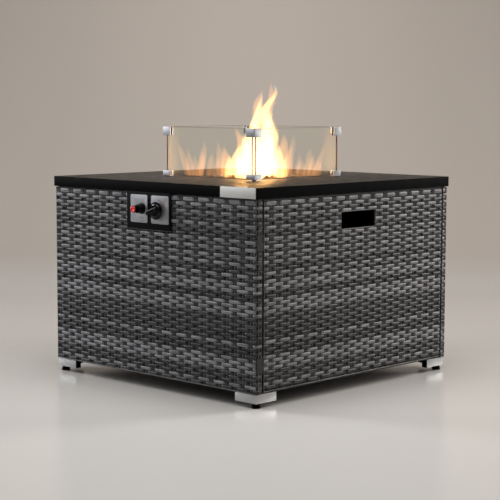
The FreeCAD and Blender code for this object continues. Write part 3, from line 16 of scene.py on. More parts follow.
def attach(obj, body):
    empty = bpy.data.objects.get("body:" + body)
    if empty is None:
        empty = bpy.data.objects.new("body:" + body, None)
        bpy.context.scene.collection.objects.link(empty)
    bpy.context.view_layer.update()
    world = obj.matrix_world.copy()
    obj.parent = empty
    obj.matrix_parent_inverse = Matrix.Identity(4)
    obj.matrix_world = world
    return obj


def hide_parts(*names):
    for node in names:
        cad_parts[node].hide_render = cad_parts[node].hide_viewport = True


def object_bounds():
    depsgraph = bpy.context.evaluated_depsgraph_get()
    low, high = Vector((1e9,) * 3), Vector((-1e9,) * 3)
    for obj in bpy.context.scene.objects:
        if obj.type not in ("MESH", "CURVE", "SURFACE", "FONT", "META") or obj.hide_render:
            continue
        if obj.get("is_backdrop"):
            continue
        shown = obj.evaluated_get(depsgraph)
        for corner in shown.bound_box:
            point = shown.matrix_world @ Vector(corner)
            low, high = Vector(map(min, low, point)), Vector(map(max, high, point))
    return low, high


# The camera, fitted to the straight edges of the table
CAMERA_AT = Vector((2.8971, -3.0246, 0.7798))
CAMERA_AZIMUTH = math.radians(43.837)
CAMERA_ELEVATION = math.radians(5.890)
CAMERA_ROLL = math.radians(0.137)
CAMERA_LENS_MM = 105.43

# How many quarter turns bring the front's place round to each side
QUARTER_TURNS = {"front": 0, "right": 1, "rear": 2, "left": 3}

# The weave: rows of flat cane in light, middle and dark tones round thin upright stakes
CORNER = 0.397
CANE_TONES = "LMD"
STAKE_TONE = 3
SHADE_SHEET_TONE = 4
ROW_PITCH = 0.00969
ROW_PLAN = "LLDLMMLMDDLMLDLMLDDLDLLLDDLLLLMMMMDDDLDDDLLLLMMDLM"
TABLE_WEAVE = {"first_stake": -0.383, "pitch": 0.0281, "top_row": 0.5182, "plan": ROW_PLAN}
DOOR_WEAVE = {
    "first_stake": 2 * CORNER - 0.370,
    "pitch": 0.02677,
    "top_row": 0.5165,
    "plan": ROW_PLAN[:9] + ROW_PLAN[10:] + "M",
}
STEPS_PER_STAKE = 10
CANE_MIDDLE = 0.3945
CANE_WAVE = 0.0025
CANE_HALF = 0.0038
CANE_SWELL = 0.0007
FIRST_ROW_RISE = 0.0030
FIRST_ROW_SWELL = 1.2
BUMP_FLAT = 0.56
BUMP_END = 0.98
CANE_CROWN = ((-1.0, -0.0014), (-0.7, -0.0003), (0.0, 0.0), (0.7, -0.0003), (1.0, -0.0014))
STAKE_DEPTH = 0.3943
STAKE_RIBS = (-0.0017, 0.0017)
RIB_HALF = 0.0013
RIB_CROWN = 0.0008
STAKE_TO_END = 0.004
STAKE_TO_HOLE = 0.003
STAKE_SHORT_BY = 0.001
LEAST_STAKE = 0.004
LEAST_ROW = 0.002
# The dark sheet behind the weave is painted shade for the hollow inside
LEAST_SHADE_SHEET = 0.001
SHADE_SHEET_BACK = 0.3911
SHADE_SHEET_FRONT = 0.3915
SHADE_SHEET_INSET = 0.002
WRAP_RADIUS = 0.003
CORNER_END = CANE_MIDDLE - WRAP_RADIUS * (1 - math.pi / 4)
BINDING_RADIUS = 0.0017
BINDING_SIDES = 8
BINDING_STEP = 0.012
BINDING_WAVER = 0.08
BINDING_WAVER_TURN = 2.6

# Where painted shade lies in the weave: full at the deep level, none at the clear one
PAINTED_SHADE_DEEP = 0.3930
PAINTED_SHADE_CLEAR = 0.3957
PAINTED_SHADE_LEAST_LIGHT = 0.04
PAINTED_SHADE_CORNER_BLEND = 0.007

# The edges and openings of the woven sides; an opening is left, right, bottom, top
WEAVE_TOP = 0.530
WEAVE_BOTTOM = 0.0365
HEM = WEAVE_BOTTOM + BINDING_RADIUS
EDGE_DEPTH = 0.3952
PANEL_HOLE = (-0.0865, 0.0865, 0.4325, 0.531)
PANEL_HEM = 0.4315
SLOT_HOLE = (-0.0715, 0.0715, 0.438, 0.482)
STRIP_GAP = 0.3765
STRIP_SECOND_STRAND = 0.0115
DOOR_HALF = 0.3705
DOOR_BOTTOM = 0.040
DOOR_TOP = 0.529
HINGE_ROOM = 0.0010
PLATE_HOLE_END = -0.3945
PLATE_HOLES = ((0.401, 0.4413), (0.090, 0.1303))

# The wind guard's panes
PANE_HALF_WIDTH = 0.1675
PANE_INNER = 0.1705
PANE_OUTER = 0.1765
PANE_BOTTOM = 0.565
PANE_TOP = 0.701
PANE_ARRIS = 0.0006

# The upper face of the table, with a little room for rounding
TOP_FACE = 0.560
TOP_FACE_ROOM = 0.001

# The control panel: middles of the knob and the button as across, up, and the printed marks
KNOB_MIDDLE = Vector((0.036, 0.484))
BUTTON_MIDDLE = Vector((-0.025, 0.487))
RED_FACE_DEPTH = 0.0030
MARK_FACE = -0.4007 - 0.00012
MARK_THICKNESS = 0.0001
DIAL_MARKS = 17
DIAL_START = 84
DIAL_STEP = 6.6
DIAL_RED = range(6, 13)
DIAL_INNER = 0.0277
DIAL_OUTER = 0.0303
DIAL_HALF = 0.0008

# The flame
FLAME_FOOT = 0.553
RING_RADIUS = 0.058
RING_FLAMES = 16
PAN_REACH = 0.20
FLAME_RINGS = 34
FLAME_SIDES = 18
FLAME_LEAST_RADIUS = 0.0003
FLAME_WAVER = 0.16
FLAME_RIPPLE = 0.50
FLAME_FINE_RIPPLE = 0.22

# The backdrop: a floor, a bend and a wall
SWEEP_HALF_WIDTH = 7.0
SWEEP_FRONT = -7.0
PAINT_FRONT = -2.0
BEND_START = 1.6
BEND_RADIUS = 2.4
BEND_STEPS = 16
WALL_TOP = 6.0


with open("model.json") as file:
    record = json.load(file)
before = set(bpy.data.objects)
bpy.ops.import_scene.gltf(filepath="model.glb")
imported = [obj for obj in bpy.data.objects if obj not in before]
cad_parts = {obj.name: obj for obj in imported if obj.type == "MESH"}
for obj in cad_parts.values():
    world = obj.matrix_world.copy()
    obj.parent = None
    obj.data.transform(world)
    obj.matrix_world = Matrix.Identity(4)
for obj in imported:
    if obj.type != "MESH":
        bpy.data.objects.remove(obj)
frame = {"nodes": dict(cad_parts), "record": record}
nodes = frame["nodes"]
slot_of = {part["node"]: part["material_slot"] for part in frame["record"]["subparts"]}
cad_low, cad_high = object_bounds()


# Materials


def new_material(name):
    """A material with its node tree and its surface shader."""
    material = bpy.data.materials.new(name)
    material.use_nodes = True
    return material, material.node_tree, material.node_tree.nodes["Principled BSDF"]


def pattern(tree, scale, stretch=(1.0, 1.0, 1.0), detail=4.0, kind="ShaderNodeTexNoise"):
    """A texture fixed to the object, in metres, stretched along the axes."""
    place = tree.nodes.new("ShaderNodeTexCoord")
    mapping = tree.nodes.new("ShaderNodeMapping")
    mapping.inputs["Scale"].default_value = stretch
    texture = tree.nodes.new(kind)
    texture.inputs["Scale"].default_value = scale
    if kind == "ShaderNodeTexNoise":
        texture.inputs["Detail"].default_value = detail
    tree.links.new(place.outputs["Object"], mapping.inputs["Vector"])
    tree.links.new(mapping.outputs["Vector"], texture.inputs["Vector"])
    return texture.outputs[0]


def ramp(tree, factor, stops):
    """Colours or levels at places along a factor."""
    node = tree.nodes.new("ShaderNodeValToRGB")
    elements = node.color_ramp.elements
    while len(elements) < len(stops):
        elements.new(0.5)
    for element, (place, colour) in zip(elements, stops):
        element.position = place
        if isinstance(colour, float):
            colour = (colour, colour, colour)
        element.color = (*colour[:3], 1.0)
    tree.links.new(factor, node.inputs["Fac"])
    return node.outputs["Color"]


def add_bump(tree, shader, height, strength, distance):
    """Relief from a texture."""
    bump = tree.nodes.new("ShaderNodeBump")
    bump.inputs["Strength"].default_value = strength
    bump.inputs["Distance"].default_value = distance
    tree.links.new(height, bump.inputs["Height"])
    tree.links.new(bump.outputs["Normal"], shader.inputs["Normal"])


def mixed(dark, light, share):
    """A colour between two others."""
    return tuple(a + (b - a) * share for a, b in zip(dark, light))


def coated(name, colour, roughness=0.5, shine=0.5, scale=40.0, grain=900.0, relief=0.15):
    """Powder coat or moulded plastic: faint clouds of colour and a fine orange-peel grain."""
    material, tree, shader = new_material(name)
    shader.inputs["Specular IOR Level"].default_value = shine
    clouds = pattern(tree, scale)
    dark = tuple(0.8 * level for level in colour)
    light = tuple(1.15 * level for level in colour)
    tree.links.new(ramp(tree, clouds, ((0.3, dark), (0.7, light))), shader.inputs["Base Color"])
    rough = ramp(tree, clouds, ((0.3, roughness - 0.06), (0.7, roughness + 0.06)))
    tree.links.new(rough, shader.inputs["Roughness"])
    add_bump(tree, shader, pattern(tree, grain, detail=2.0), relief, 0.0003)
    return material


def brushed(name, colour, roughness=0.34, stretch=(4.0, 4.0, 400.0), scale=10.0, metallic=0.9):
    """Metal with a fine brushed grain along one way."""
    material, tree, shader = new_material(name)
    lines = pattern(tree, scale, stretch, detail=6.0)
    dark = mixed(colour, (0.0, 0.0, 0.0), 0.16)
    light = mixed(colour, (1.0, 1.0, 1.0), 0.10)
    tree.links.new(ramp(tree, lines, ((0.3, dark), (0.7, light))), shader.inputs["Base Color"])
    rough = ramp(tree, lines, ((0.3, roughness - 0.08), (0.7, roughness + 0.10)))
    tree.links.new(rough, shader.inputs["Roughness"])
    shader.inputs["Metallic"].default_value = metallic
    add_bump(tree, shader, lines, 0.12, 0.0002)
    return material


def heated(name, colour, tint, roughness=0.5, metallic=0.7):
    """Metal dulled and tinted in patches by heat."""
    material, tree, shader = new_material(name)
    patches = pattern(tree, 28.0, detail=8.0)
    stops = ((0.3, mixed(colour, (0.0, 0.0, 0.0), 0.4)), (0.55, colour), (0.75, tint))
    tree.links.new(ramp(tree, patches, stops), shader.inputs["Base Color"])
    rough = ramp(tree, patches, ((0.3, roughness + 0.15), (0.7, roughness - 0.1)))
    tree.links.new(rough, shader.inputs["Roughness"])
    shader.inputs["Metallic"].default_value = metallic
    add_bump(tree, shader, pattern(tree, 500.0), 0.2, 0.0003)
    return material


def multiplied(tree, first, second):
    """The product of two colours."""
    blend = tree.nodes.new("ShaderNodeMix")
    blend.data_type = "RGBA"
    blend.blend_type = "MULTIPLY"
    blend.inputs["Factor"].default_value = 1.0
    tree.links.new(first, blend.inputs["A"])
    tree.links.new(second, blend.inputs["B"])
    return blend.outputs["Result"]


def depth_shade(tree):
    """Painted shade in the weave: dark where the cane lies deep in the side, clear at its face."""
    place = tree.nodes.new("ShaderNodeTexCoord")
    axes = tree.nodes.new("ShaderNodeSeparateXYZ")
    tree.links.new(place.outputs["Object"], axes.inputs["Vector"])
    reach = tree.nodes.new("ShaderNodeMath")
    reach.operation = "SMOOTH_MAX"
    reach.inputs[2].default_value = PAINTED_SHADE_CORNER_BLEND
    for axis, socket in (("X", 0), ("Y", 1)):
        size = tree.nodes.new("ShaderNodeMath")
        size.operation = "ABSOLUTE"
        tree.links.new(axes.outputs[axis], size.inputs[0])
        tree.links.new(size.outputs[0], reach.inputs[socket])
    shade = tree.nodes.new("ShaderNodeMapRange")
    shade.inputs["From Min"].default_value = PAINTED_SHADE_DEEP
    shade.inputs["From Max"].default_value = PAINTED_SHADE_CLEAR
    shade.inputs["To Min"].default_value = PAINTED_SHADE_LEAST_LIGHT
    tree.links.new(reach.outputs[0], shade.inputs["Value"])
    return shade.outputs["Result"]


def cane(name, colour):
    """Flat plastic cane: long streaks along the strand, painted shade where it dips, and a soft sheen."""
    material, tree, shader = new_material(name)
    streaks = pattern(tree, 22.0, (1.0, 1.0, 38.0), detail=5.0)
    shades = pattern(tree, 31.0, (1.0, 1.0, 3.4), detail=1.0)
    dark = mixed(colour, (0.0, 0.0, 0.0), 0.42)
    light = mixed(colour, (1.0, 1.0, 1.0), 0.16)
    streaked = ramp(tree, streaks, ((0.3, dark), (0.5, colour), (0.72, light)))
    shaded = ramp(tree, shades, ((0.35, 0.55), (0.65, 1.0)))
    # Painted shade: the cane's colour darkens where it lies deep in the side
    shade_darkened = multiplied(tree, streaked, depth_shade(tree))
    tree.links.new(multiplied(tree, shade_darkened, shaded), shader.inputs["Base Color"])
    rough = ramp(tree, streaks, ((0.3, 0.48), (0.7, 0.36)))
    tree.links.new(rough, shader.inputs["Roughness"])
    shader.inputs["Specular IOR Level"].default_value = 0.23
    add_bump(tree, shader, streaks, 0.35, 0.0004)
    return material


def stone(name):
    """Pitted red-brown lava."""
    material, tree, shader = new_material(name)
    patches = pattern(tree, 60.0, detail=8.0)
    stops = ((0.3, (0.012, 0.009, 0.008)), (0.55, (0.055, 0.024, 0.016)), (0.8, (0.14, 0.06, 0.035)))
    tree.links.new(ramp(tree, patches, stops), shader.inputs["Base Color"])
    shader.inputs["Roughness"].default_value = 0.95
    pits = pattern(tree, 420.0, kind="ShaderNodeTexVoronoi")
    add_bump(tree, shader, pits, 0.9, 0.003)
    return material


def clear_glass(name, colour, roughness, clearness=1.0):
    """Tempered glass that lets lamps through."""
    material, tree, shader = new_material(name)
    shader.inputs["Base Color"].default_value = (*colour, 1.0)
    shader.inputs["Transmission Weight"].default_value = clearness
    shader.inputs["IOR"].default_value = 1.13
    smears = pattern(tree, 30.0, (1.0, 1.0, 0.5))
    rough = ramp(tree, smears, ((0.4, roughness), (0.7, roughness + 0.02)))
    tree.links.new(rough, shader.inputs["Roughness"])
    through = tree.nodes.new("ShaderNodeBsdfTransparent")
    through.inputs["Color"].default_value = (*mixed(colour, (1.0, 1.0, 1.0), 0.3), 1.0)
    ray = tree.nodes.new("ShaderNodeLightPath")
    choice = tree.nodes.new("ShaderNodeMixShader")
    tree.links.new(ray.outputs["Is Shadow Ray"], choice.inputs["Fac"])
    tree.links.new(shader.outputs["BSDF"], choice.inputs[1])
    tree.links.new(through.outputs["BSDF"], choice.inputs[2])
    tree.links.new(choice.outputs["Shader"], tree.nodes["Material Output"].inputs["Surface"])
    return material


def glow(name, colour, density):
    """Burning gas: light from the whole inside of a closed shape."""
    material = bpy.data.materials.new(name)
    material.use_nodes = True
    tree = material.node_tree
    tree.nodes.remove(tree.nodes["Principled BSDF"])
    light = tree.nodes.new("ShaderNodeEmission")
    light.inputs["Color"].default_value = (*colour, 1.0)
    light.inputs["Strength"].default_value = density
    tree.links.new(light.outputs["Emission"], tree.nodes["Material Output"].inputs["Volume"])
    return material


finishes = {
    "black_steel": coated("edge_coat", (0.0017, 0.0016, 0.0018), 0.55, 0.02, grain=1500.0, relief=0.2),
    "frame_steel": coated("frame_coat", (0.020, 0.019, 0.018), 0.5, 0.3),
    "pan_steel": heated("pan_black", (0.030, 0.026, 0.023), (0.10, 0.055, 0.03), 0.55, 0.3),
    "bare_steel": brushed("plate_brushed", (0.30, 0.30, 0.315), roughness=0.55, metallic=0.6),
    "cover_metal": brushed("cover_brushed", (0.50, 0.50, 0.50), roughness=0.46),
    "clip_metal": brushed("clip_satin", (0.33, 0.33, 0.345), roughness=0.46, stretch=(60.0, 60.0, 60.0)),
    "black_plastic": coated("panel_plastic", (0.0014, 0.0014, 0.0016), 0.55, 0.03),
    "knob_plastic": coated("knob_plastic", (0.002, 0.002, 0.0022), roughness=0.16, shine=0.22, relief=0.05),
    "red_plastic": coated("button_red", (0.80, 0.030, 0.022), roughness=0.3, relief=0.05),
    "housing_plastic": coated("housing_plastic", (0.003, 0.003, 0.0033), 0.40, 0.15),
    "pad_rubber": coated("pad_rubber", (0.020, 0.020, 0.020), roughness=0.8),
    "burner_metal": heated("burner_steel", (0.38, 0.34, 0.30), (0.34, 0.22, 0.30), 0.42, 0.85),
    "brass": heated("brass_parts", (0.66, 0.47, 0.21), (0.75, 0.58, 0.30), 0.32, 0.95),
    "small_steel": brushed("plated_steel", (0.55, 0.55, 0.56), roughness=0.36),
    "pipe_metal": brushed("pipe_drawn", (0.68, 0.68, 0.70), roughness=0.33),
    "copper": heated("copper_drawn", (0.62, 0.30, 0.17), (0.50, 0.24, 0.20), 0.3, 0.95),
    "ceramic": coated("ceramic_glaze", (0.82, 0.80, 0.75), roughness=0.2, relief=0.05),
    "spring_steel": brushed("spring_ground", (0.50, 0.50, 0.52), roughness=0.3),
    "lead_cover": coated("lead_sleeve", (0.33, 0.028, 0.026), roughness=0.6),
}
cane_tones = {
    "L": cane("cane_light", (0.205, 0.198, 0.209)),
    "M": cane("cane_middle", (0.026, 0.0255, 0.0255)),
    "D": cane("cane_dark", (0.006, 0.006, 0.0055)),
}
stake_cane = cane("cane_stake", (0.105, 0.105, 0.105))
# The dark sheet behind the weave: painted shade for the hollow inside
shade_sheet_cane = coated("cane_shade_sheet", (0.012, 0.012, 0.013), roughness=0.7)
pane_glass = clear_glass("pane_glass", (0.955, 0.965, 0.935), 0.01)
# The panes' edges: a mostly opaque warm brown, painted light for the flame's glow seen in the glass edges
edge_glass = clear_glass("pane_edge", (0.10, 0.055, 0.025), 0.30, 0.20)
lava = stone("lava")
pale_plate = brushed("edge_plate_brushed", (0.60, 0.585, 0.56), roughness=0.50, metallic=0.7)
# The table top's upper face: a lighter, browner, glossier copy of the sheet's black coat, painted light
# that its edges don't get
lit_top_coat = coated("top_coat", (0.0070, 0.0050, 0.0040), 0.36, 0.065, grain=1500.0, relief=0.08)

for node_name, slot_name in slot_of.items():
    if slot_name in finishes:
        mesh = nodes[node_name].data
        mesh.materials.clear()
        mesh.materials.append(finishes[slot_name])


# Meshes


def new_piece(name, vertices, faces, materials, face_materials=None, smooth=True):
    """An object from plain lists."""
    mesh = bpy.data.meshes.new(name)
    mesh.from_pydata(vertices, [], faces)
    for material in materials:
        mesh.materials.append(material)
    if face_materials:
        mesh.polygons.foreach_set("material_index", face_materials)
    mesh.polygons.foreach_set("use_smooth", [smooth] * len(mesh.polygons))
    mesh.update()
    piece = bpy.data.objects.new(name, mesh)
    bpy.context.scene.collection.objects.link(piece)
    return piece


def from_bmesh(name, bm, materials, smooth=False):
    """An object from a built bmesh."""
    mesh = bpy.data.meshes.new(name)
    bm.to_mesh(mesh)
    bm.free()
    for material in materials:
        mesh.materials.append(material)
    mesh.polygons.foreach_set("use_smooth", [smooth] * len(mesh.polygons))
    piece = bpy.data.objects.new(name, mesh)
    bpy.context.scene.collection.objects.link(piece)
    return piece


class Net:
    """Vertices and faces gathered for one piece."""

    def __init__(self):
        self.vertices = []
        self.faces = []
        self.tones = []

    def strips(self, sections, tone, closed=False):
        """Joins neighbouring sections of the same length with quads."""
        first = len(self.vertices)
        width = len(sections[0])
        for section in sections:
            self.vertices.extend(section)
        around = width if closed else width - 1
        for row in range(len(sections) - 1):
            for column in range(around):
                a = first + row * width + column
                b = first + row * width + (column + 1) % width
                self.faces.append((a, b, b + width, a + width))
                self.tones.append(tone)

    def block(self, low, high, tone, place):
        """A closed box between two corners, each given as along, depth, height."""
        first = len(self.vertices)
        for u in (low[0], high[0]):
            for depth in (low[1], high[1]):
                for z in (low[2], high[2]):
                    self.vertices.append(place(u, depth, z))
        for face in ((0, 1, 3, 2), (4, 6, 7, 5), (0, 4, 5, 1), (2, 3, 7, 6), (0, 2, 6, 4), (1, 5, 7, 3)):
            self.faces.append(tuple(first + corner for corner in face))
            self.tones.append(tone)


# Woven sides


def side_place(side):
    """The point on a side from how far along, how deep and how high it is, round the corner's bend."""
    turns = QUARTER_TURNS[side]
    flat_end = CANE_MIDDLE - WRAP_RADIUS

    def place(u, depth, z):
        if abs(u) > flat_end:
            angle = min((abs(u) - flat_end) / WRAP_RADIUS, math.pi / 4)
            reach = WRAP_RADIUS + depth - CANE_MIDDLE
            along = math.copysign(flat_end + reach * math.sin(angle), u)
            out = flat_end + reach * math.cos(angle)
        else:
            along = u
            out = depth
        x, y = along, -out
        for _ in range(turns):
            x, y = -y, x
        return (x, y, z)

    return place


def lift(weave, u, row, turn):
    """How far a row stands forward at a place along the side: 1 over a stake, 0 behind one."""
    stake = (u + 2 * CORNER * turn - weave["first_stake"]) / weave["pitch"] + row
    from_top = abs(stake % 2 - 1)
    slope = min(max((from_top - BUMP_FLAT) / (BUMP_END - BUMP_FLAT), 0.0), 1.0)
    return 0.5 + 0.5 * math.cos(math.pi * slope)


def free_spans(start, end, z, half, holes):
    """The stretches of a row outside every hole."""
    spans = [(start, end)]
    for low, high, bottom, top in holes:
        if z + half <= bottom or z - half >= top:
            continue
        spans = [
            piece
            for left, right in spans
            for piece in ((left, min(right, low)), (max(left, high), right))
            if piece[1] - piece[0] > LEAST_ROW
        ]
    return spans


def weave_row(net, place, weave, turn, row, start, end, tone):
    """One strand, in front of one stake and behind the next."""
    z = weave["top_row"] - ROW_PITCH * row + (FIRST_ROW_RISE if row == 0 else 0.0)
    fullness = FIRST_ROW_SWELL if row == 0 else 1.0
    count = max(2, round((end - start) / weave["pitch"] * STEPS_PER_STAKE))
    sections = []
    for step in range(count + 1):
        u = start + (end - start) * step / count
        up = lift(weave, u, row, turn)
        depth = CANE_MIDDLE + CANE_WAVE * (2 * up - 1)
        half = fullness * (CANE_HALF + CANE_SWELL * up)
        sections.append([place(u, depth + crown, z + half * share) for share, crown in CANE_CROWN])
    net.strips(sections, tone)


def weave_stake(net, place, u, bottom, top):
    """An upright stake of two thin ribs."""
    for shift in STAKE_RIBS:
        profile = (
            (-RIB_HALF, -RIB_CROWN),
            (-RIB_HALF / 2, 0.0),
            (RIB_HALF / 2, 0.0),
            (RIB_HALF, -RIB_CROWN),
        )
        sections = [
            [place(u + shift + across, STAKE_DEPTH + RIB_CROWN + crown, z) for across, crown in profile]
            for z in (top, bottom)
        ]
        net.strips(sections, STAKE_TONE)


def bind_edge(net, place, start, end, tone=STAKE_TONE):
    """A round strand along an edge, between two places given as along, depth and height."""
    length = (Vector(end) - Vector(start)).length
    count = max(2, round(length / BINDING_STEP))
    upright = abs(end[2] - start[2]) > abs(end[0] - start[0])
    sections = []
    for step in range(count + 1):
        u, depth, z = Vector(start).lerp(Vector(end), step / count)
        thick = BINDING_RADIUS * (1 + BINDING_WAVER * math.sin(BINDING_WAVER_TURN * step))
        section = []
        for corner in range(BINDING_SIDES):
            angle = math.tau * corner / BINDING_SIDES
            across = thick * math.cos(angle)
            out = thick * math.sin(angle)
            if upright:
                section.append(place(u + across, depth + out, z))
            else:
                section.append(place(u, depth + out, z + across))
        sections.append(section)
    net.strips(sections, tone, closed=True)


def weave_rows(net, place, weave, turn, start, end, bottom, holes):
    """Every row of a side, down to its lower edge."""
    for row, letter in enumerate(weave["plan"]):
        z = weave["top_row"] - ROW_PITCH * row
        if z - CANE_HALF < bottom:
            continue
        for left, right in free_spans(start, end, z, CANE_HALF, holes):
            weave_row(net, place, weave, turn, row, left, right, CANE_TONES.index(letter))


def weave_stakes(net, place, weave, turn, start, end, bottom, top, holes):
    """Every stake of a side, with gaps where there are holes."""
    side_start = 2 * CORNER * turn - weave["first_stake"]
    first = math.ceil((side_start + start + STAKE_TO_END) / weave["pitch"])
    last = math.floor((side_start + end - STAKE_TO_END) / weave["pitch"])
    for number in range(first, last + 1):
        u = number * weave["pitch"] - side_start
        levels = [bottom + STAKE_SHORT_BY]
        for low, high, hole_bottom, hole_top in holes:
            if low - STAKE_TO_HOLE < u < high + STAKE_TO_HOLE:
                levels += [hole_bottom - STAKE_SHORT_BY, min(hole_top, top) + STAKE_SHORT_BY]
        levels.append(top)
        for low, high in zip(levels[::2], levels[1::2]):
            if high - low > LEAST_STAKE:
                weave_stake(net, place, u, low, high)


def weave_shade_sheet(net, place, start, end, bottom, top, holes):
    """A dark sheet behind a side, in boxes round its holes: painted shade for the hollow inside that shows
    through the weave.
    """
    flat_start = max(start, -CANE_MIDDLE + SHADE_SHEET_INSET)
    flat_end = min(end, CANE_MIDDLE - SHADE_SHEET_INSET)
    hole_ends = [min(max(x, flat_start), flat_end) for hole in holes for x in hole[:2]]
    cuts = sorted({flat_start, flat_end, *hole_ends})
    for left, right in zip(cuts, cuts[1:]):
        levels = [bottom]
        for low, high, hole_bottom, hole_top in sorted(holes, key=lambda hole: hole[2]):
            if low <= left and right <= high:
                levels += [hole_bottom, min(hole_top, top)]
        levels.append(top)
        for low, high in zip(levels[::2], levels[1::2]):
            if high - low > LEAST_SHADE_SHEET:
                net.block((left, SHADE_SHEET_BACK, low), (right, SHADE_SHEET_FRONT, high), SHADE_SHEET_TONE, place)


def weave_side(name, body, weave, side, start, end, bottom, top, holes=(), bound=(), replaced=()):
    """A woven side with its stakes, its dark sheet of painted shade behind, and its bound edges."""
    turn = QUARTER_TURNS[side]
    place = side_place(side)
    net = Net()
    weave_rows(net, place, weave, turn, start, end, bottom, holes)
    weave_stakes(net, place, weave, turn, start, end, bottom, top, holes)
    weave_shade_sheet(net, place, start, end, bottom, top, holes)
    for edge_start, edge_end in bound:
        bind_edge(net, place, edge_start, edge_end)
    # The top binding, under the fascia's lip, is drawn in the same dark: painted shade
    bind_edge(net, place, *hem(start, end, top - BINDING_RADIUS), tone=SHADE_SHEET_TONE)
    materials = [cane_tones[tone] for tone in CANE_TONES] + [stake_cane, shade_sheet_cane]
    piece = new_piece(name, net.vertices, net.faces, materials, net.tones)
    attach(piece, body)
    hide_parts(*replaced)
    return piece


def hem(start, end, z=HEM):
    """The bound lower edge of a side."""
    return ((start, EDGE_DEPTH, z), (end, EDGE_DEPTH, z))


def upright(u, bottom, top):
    """A bound upright edge."""
    return ((u, EDGE_DEPTH, bottom), (u, EDGE_DEPTH, top))


def corner_edges():
    """The lower edge and both corners of a side that reaches from corner to corner."""
    return [
        hem(-CORNER_END, CORNER_END),
        upright(-CORNER_END, WEAVE_BOTTOM, WEAVE_TOP),
        upright(CORNER_END, WEAVE_BOTTOM, WEAVE_TOP),
    ]


weave_side(
    "woven_front", "table", TABLE_WEAVE, "front", -CORNER_END, CORNER_END, WEAVE_BOTTOM, WEAVE_TOP,
    holes=[PANEL_HOLE], bound=[*corner_edges(), hem(-0.0865, 0.0865, PANEL_HEM)],
    replaced=["rattan_front"],
)
for side in ("left", "rear"):
    weave_side(
        f"woven_{side}", "table", TABLE_WEAVE, side, -CORNER_END, CORNER_END, WEAVE_BOTTOM, WEAVE_TOP,
        bound=corner_edges(), replaced=[f"rattan_{side}"],
    )
strip_levels = [WEAVE_BOTTOM, *[z for pair in sorted(PLATE_HOLES) for z in pair], WEAVE_TOP]
for strip_name, strip_start, strip_end, holes, node_name in (
    ("woven_strip_front", -CORNER_END, -STRIP_GAP, PLATE_HOLES, "rattan_strip_front"),
    ("woven_strip_rear", STRIP_GAP, CORNER_END, (), "rattan_strip_rear"),
):
    inner = math.copysign(STRIP_GAP + BINDING_RADIUS, strip_start)
    outer = math.copysign(STRIP_GAP + STRIP_SECOND_STRAND, strip_start)
    levels = strip_levels if holes else [WEAVE_BOTTOM, WEAVE_TOP]
    edges = [hem(strip_start, strip_end)]
    for low, high in zip(levels[::2], levels[1::2]):
        edges += [upright(inner, low, high), upright(outer, low, high)]
    weave_side(
        strip_name, "table", TABLE_WEAVE, "right", strip_start, strip_end, WEAVE_BOTTOM, WEAVE_TOP,
        holes=[(PLATE_HOLE_END, -STRIP_GAP, low, high) for low, high in holes], bound=edges,
        replaced=[node_name],
    )
slot_left, slot_right, slot_bottom, slot_top = SLOT_HOLE
hinge_side = -DOOR_HALF + HINGE_ROOM
weave_side(
    "woven_door", "door", DOOR_WEAVE, "right", hinge_side, DOOR_HALF, DOOR_BOTTOM, DOOR_TOP,
    holes=[SLOT_HOLE],
    bound=[
        hem(hinge_side, DOOR_HALF, DOOR_BOTTOM + BINDING_RADIUS),
        hem(slot_left, slot_right, slot_bottom - BINDING_RADIUS),
        hem(slot_left, slot_right, slot_top + BINDING_RADIUS),
        upright(slot_left - BINDING_RADIUS, slot_bottom, slot_top),
        upright(slot_right + BINDING_RADIUS, slot_bottom, slot_top),
        upright(hinge_side + BINDING_RADIUS, DOOR_BOTTOM, DOOR_TOP),
        upright(DOOR_HALF - BINDING_RADIUS, DOOR_BOTTOM, DOOR_TOP),
    ],
    replaced=["door_rattan"],
)


# Wind guard


def glass_pane(name, node_name, turn):
    """A pane with ground edges, which are tinted a warm brown: painted light from the flame in the glass.
    """
    bm = bmesh.new()
    bmesh.ops.create_cube(bm, size=1.0)
    size = (2 * PANE_HALF_WIDTH, PANE_OUTER - PANE_INNER, PANE_TOP - PANE_BOTTOM)
    centre = (0.0, -(PANE_OUTER + PANE_INNER) / 2, (PANE_TOP + PANE_BOTTOM) / 2)
    turned = Matrix.Rotation(turn * math.pi / 2, 4, "Z")
    matrix = turned @ Matrix.Translation(centre) @ Matrix.Diagonal((*size, 1))
    bmesh.ops.transform(bm, matrix=matrix, verts=bm.verts)
    bmesh.ops.bevel(bm, geom=list(bm.edges), offset=PANE_ARRIS, segments=2, affect="EDGES")
    broad = (PANE_TOP - PANE_BOTTOM) * PANE_HALF_WIDTH
    for face in bm.faces:
        face.material_index = 0 if face.calc_area() > broad else 1
    pane = from_bmesh(name, bm, [pane_glass, edge_glass])
    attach(pane, "guard")
    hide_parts(node_name)


for turn, node_name in enumerate(("glass_front", "glass_right", "glass_rear", "glass_left")):
    glass_pane(node_name.replace("glass", "pane"), node_name, turn)


# Softened edges of the pieces that show


def softened(name, body, node_name, radius):
    """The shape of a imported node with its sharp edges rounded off."""
    bm = bmesh.new()
    bm.from_mesh(nodes[node_name].data)
    bmesh.ops.remove_doubles(bm, verts=bm.verts, dist=1e-6)
    bmesh.ops.dissolve_limit(
        bm, angle_limit=math.radians(0.5), verts=bm.verts, edges=bm.edges, delimit={"NORMAL"}
    )
    piece = from_bmesh(name, bm, list(nodes[node_name].data.materials), smooth=True)
    bevel = piece.modifiers.new("edges", "BEVEL")
    bevel.width = radius
    bevel.segments = 3
    bevel.limit_method = "ANGLE"
    bevel.angle_limit = math.radians(40)
    bevel.harden_normals = True
    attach(piece, body)
    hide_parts(node_name)
    return piece


top_sheet = softened("top_sheet", "table", "tabletop", 0.0016)
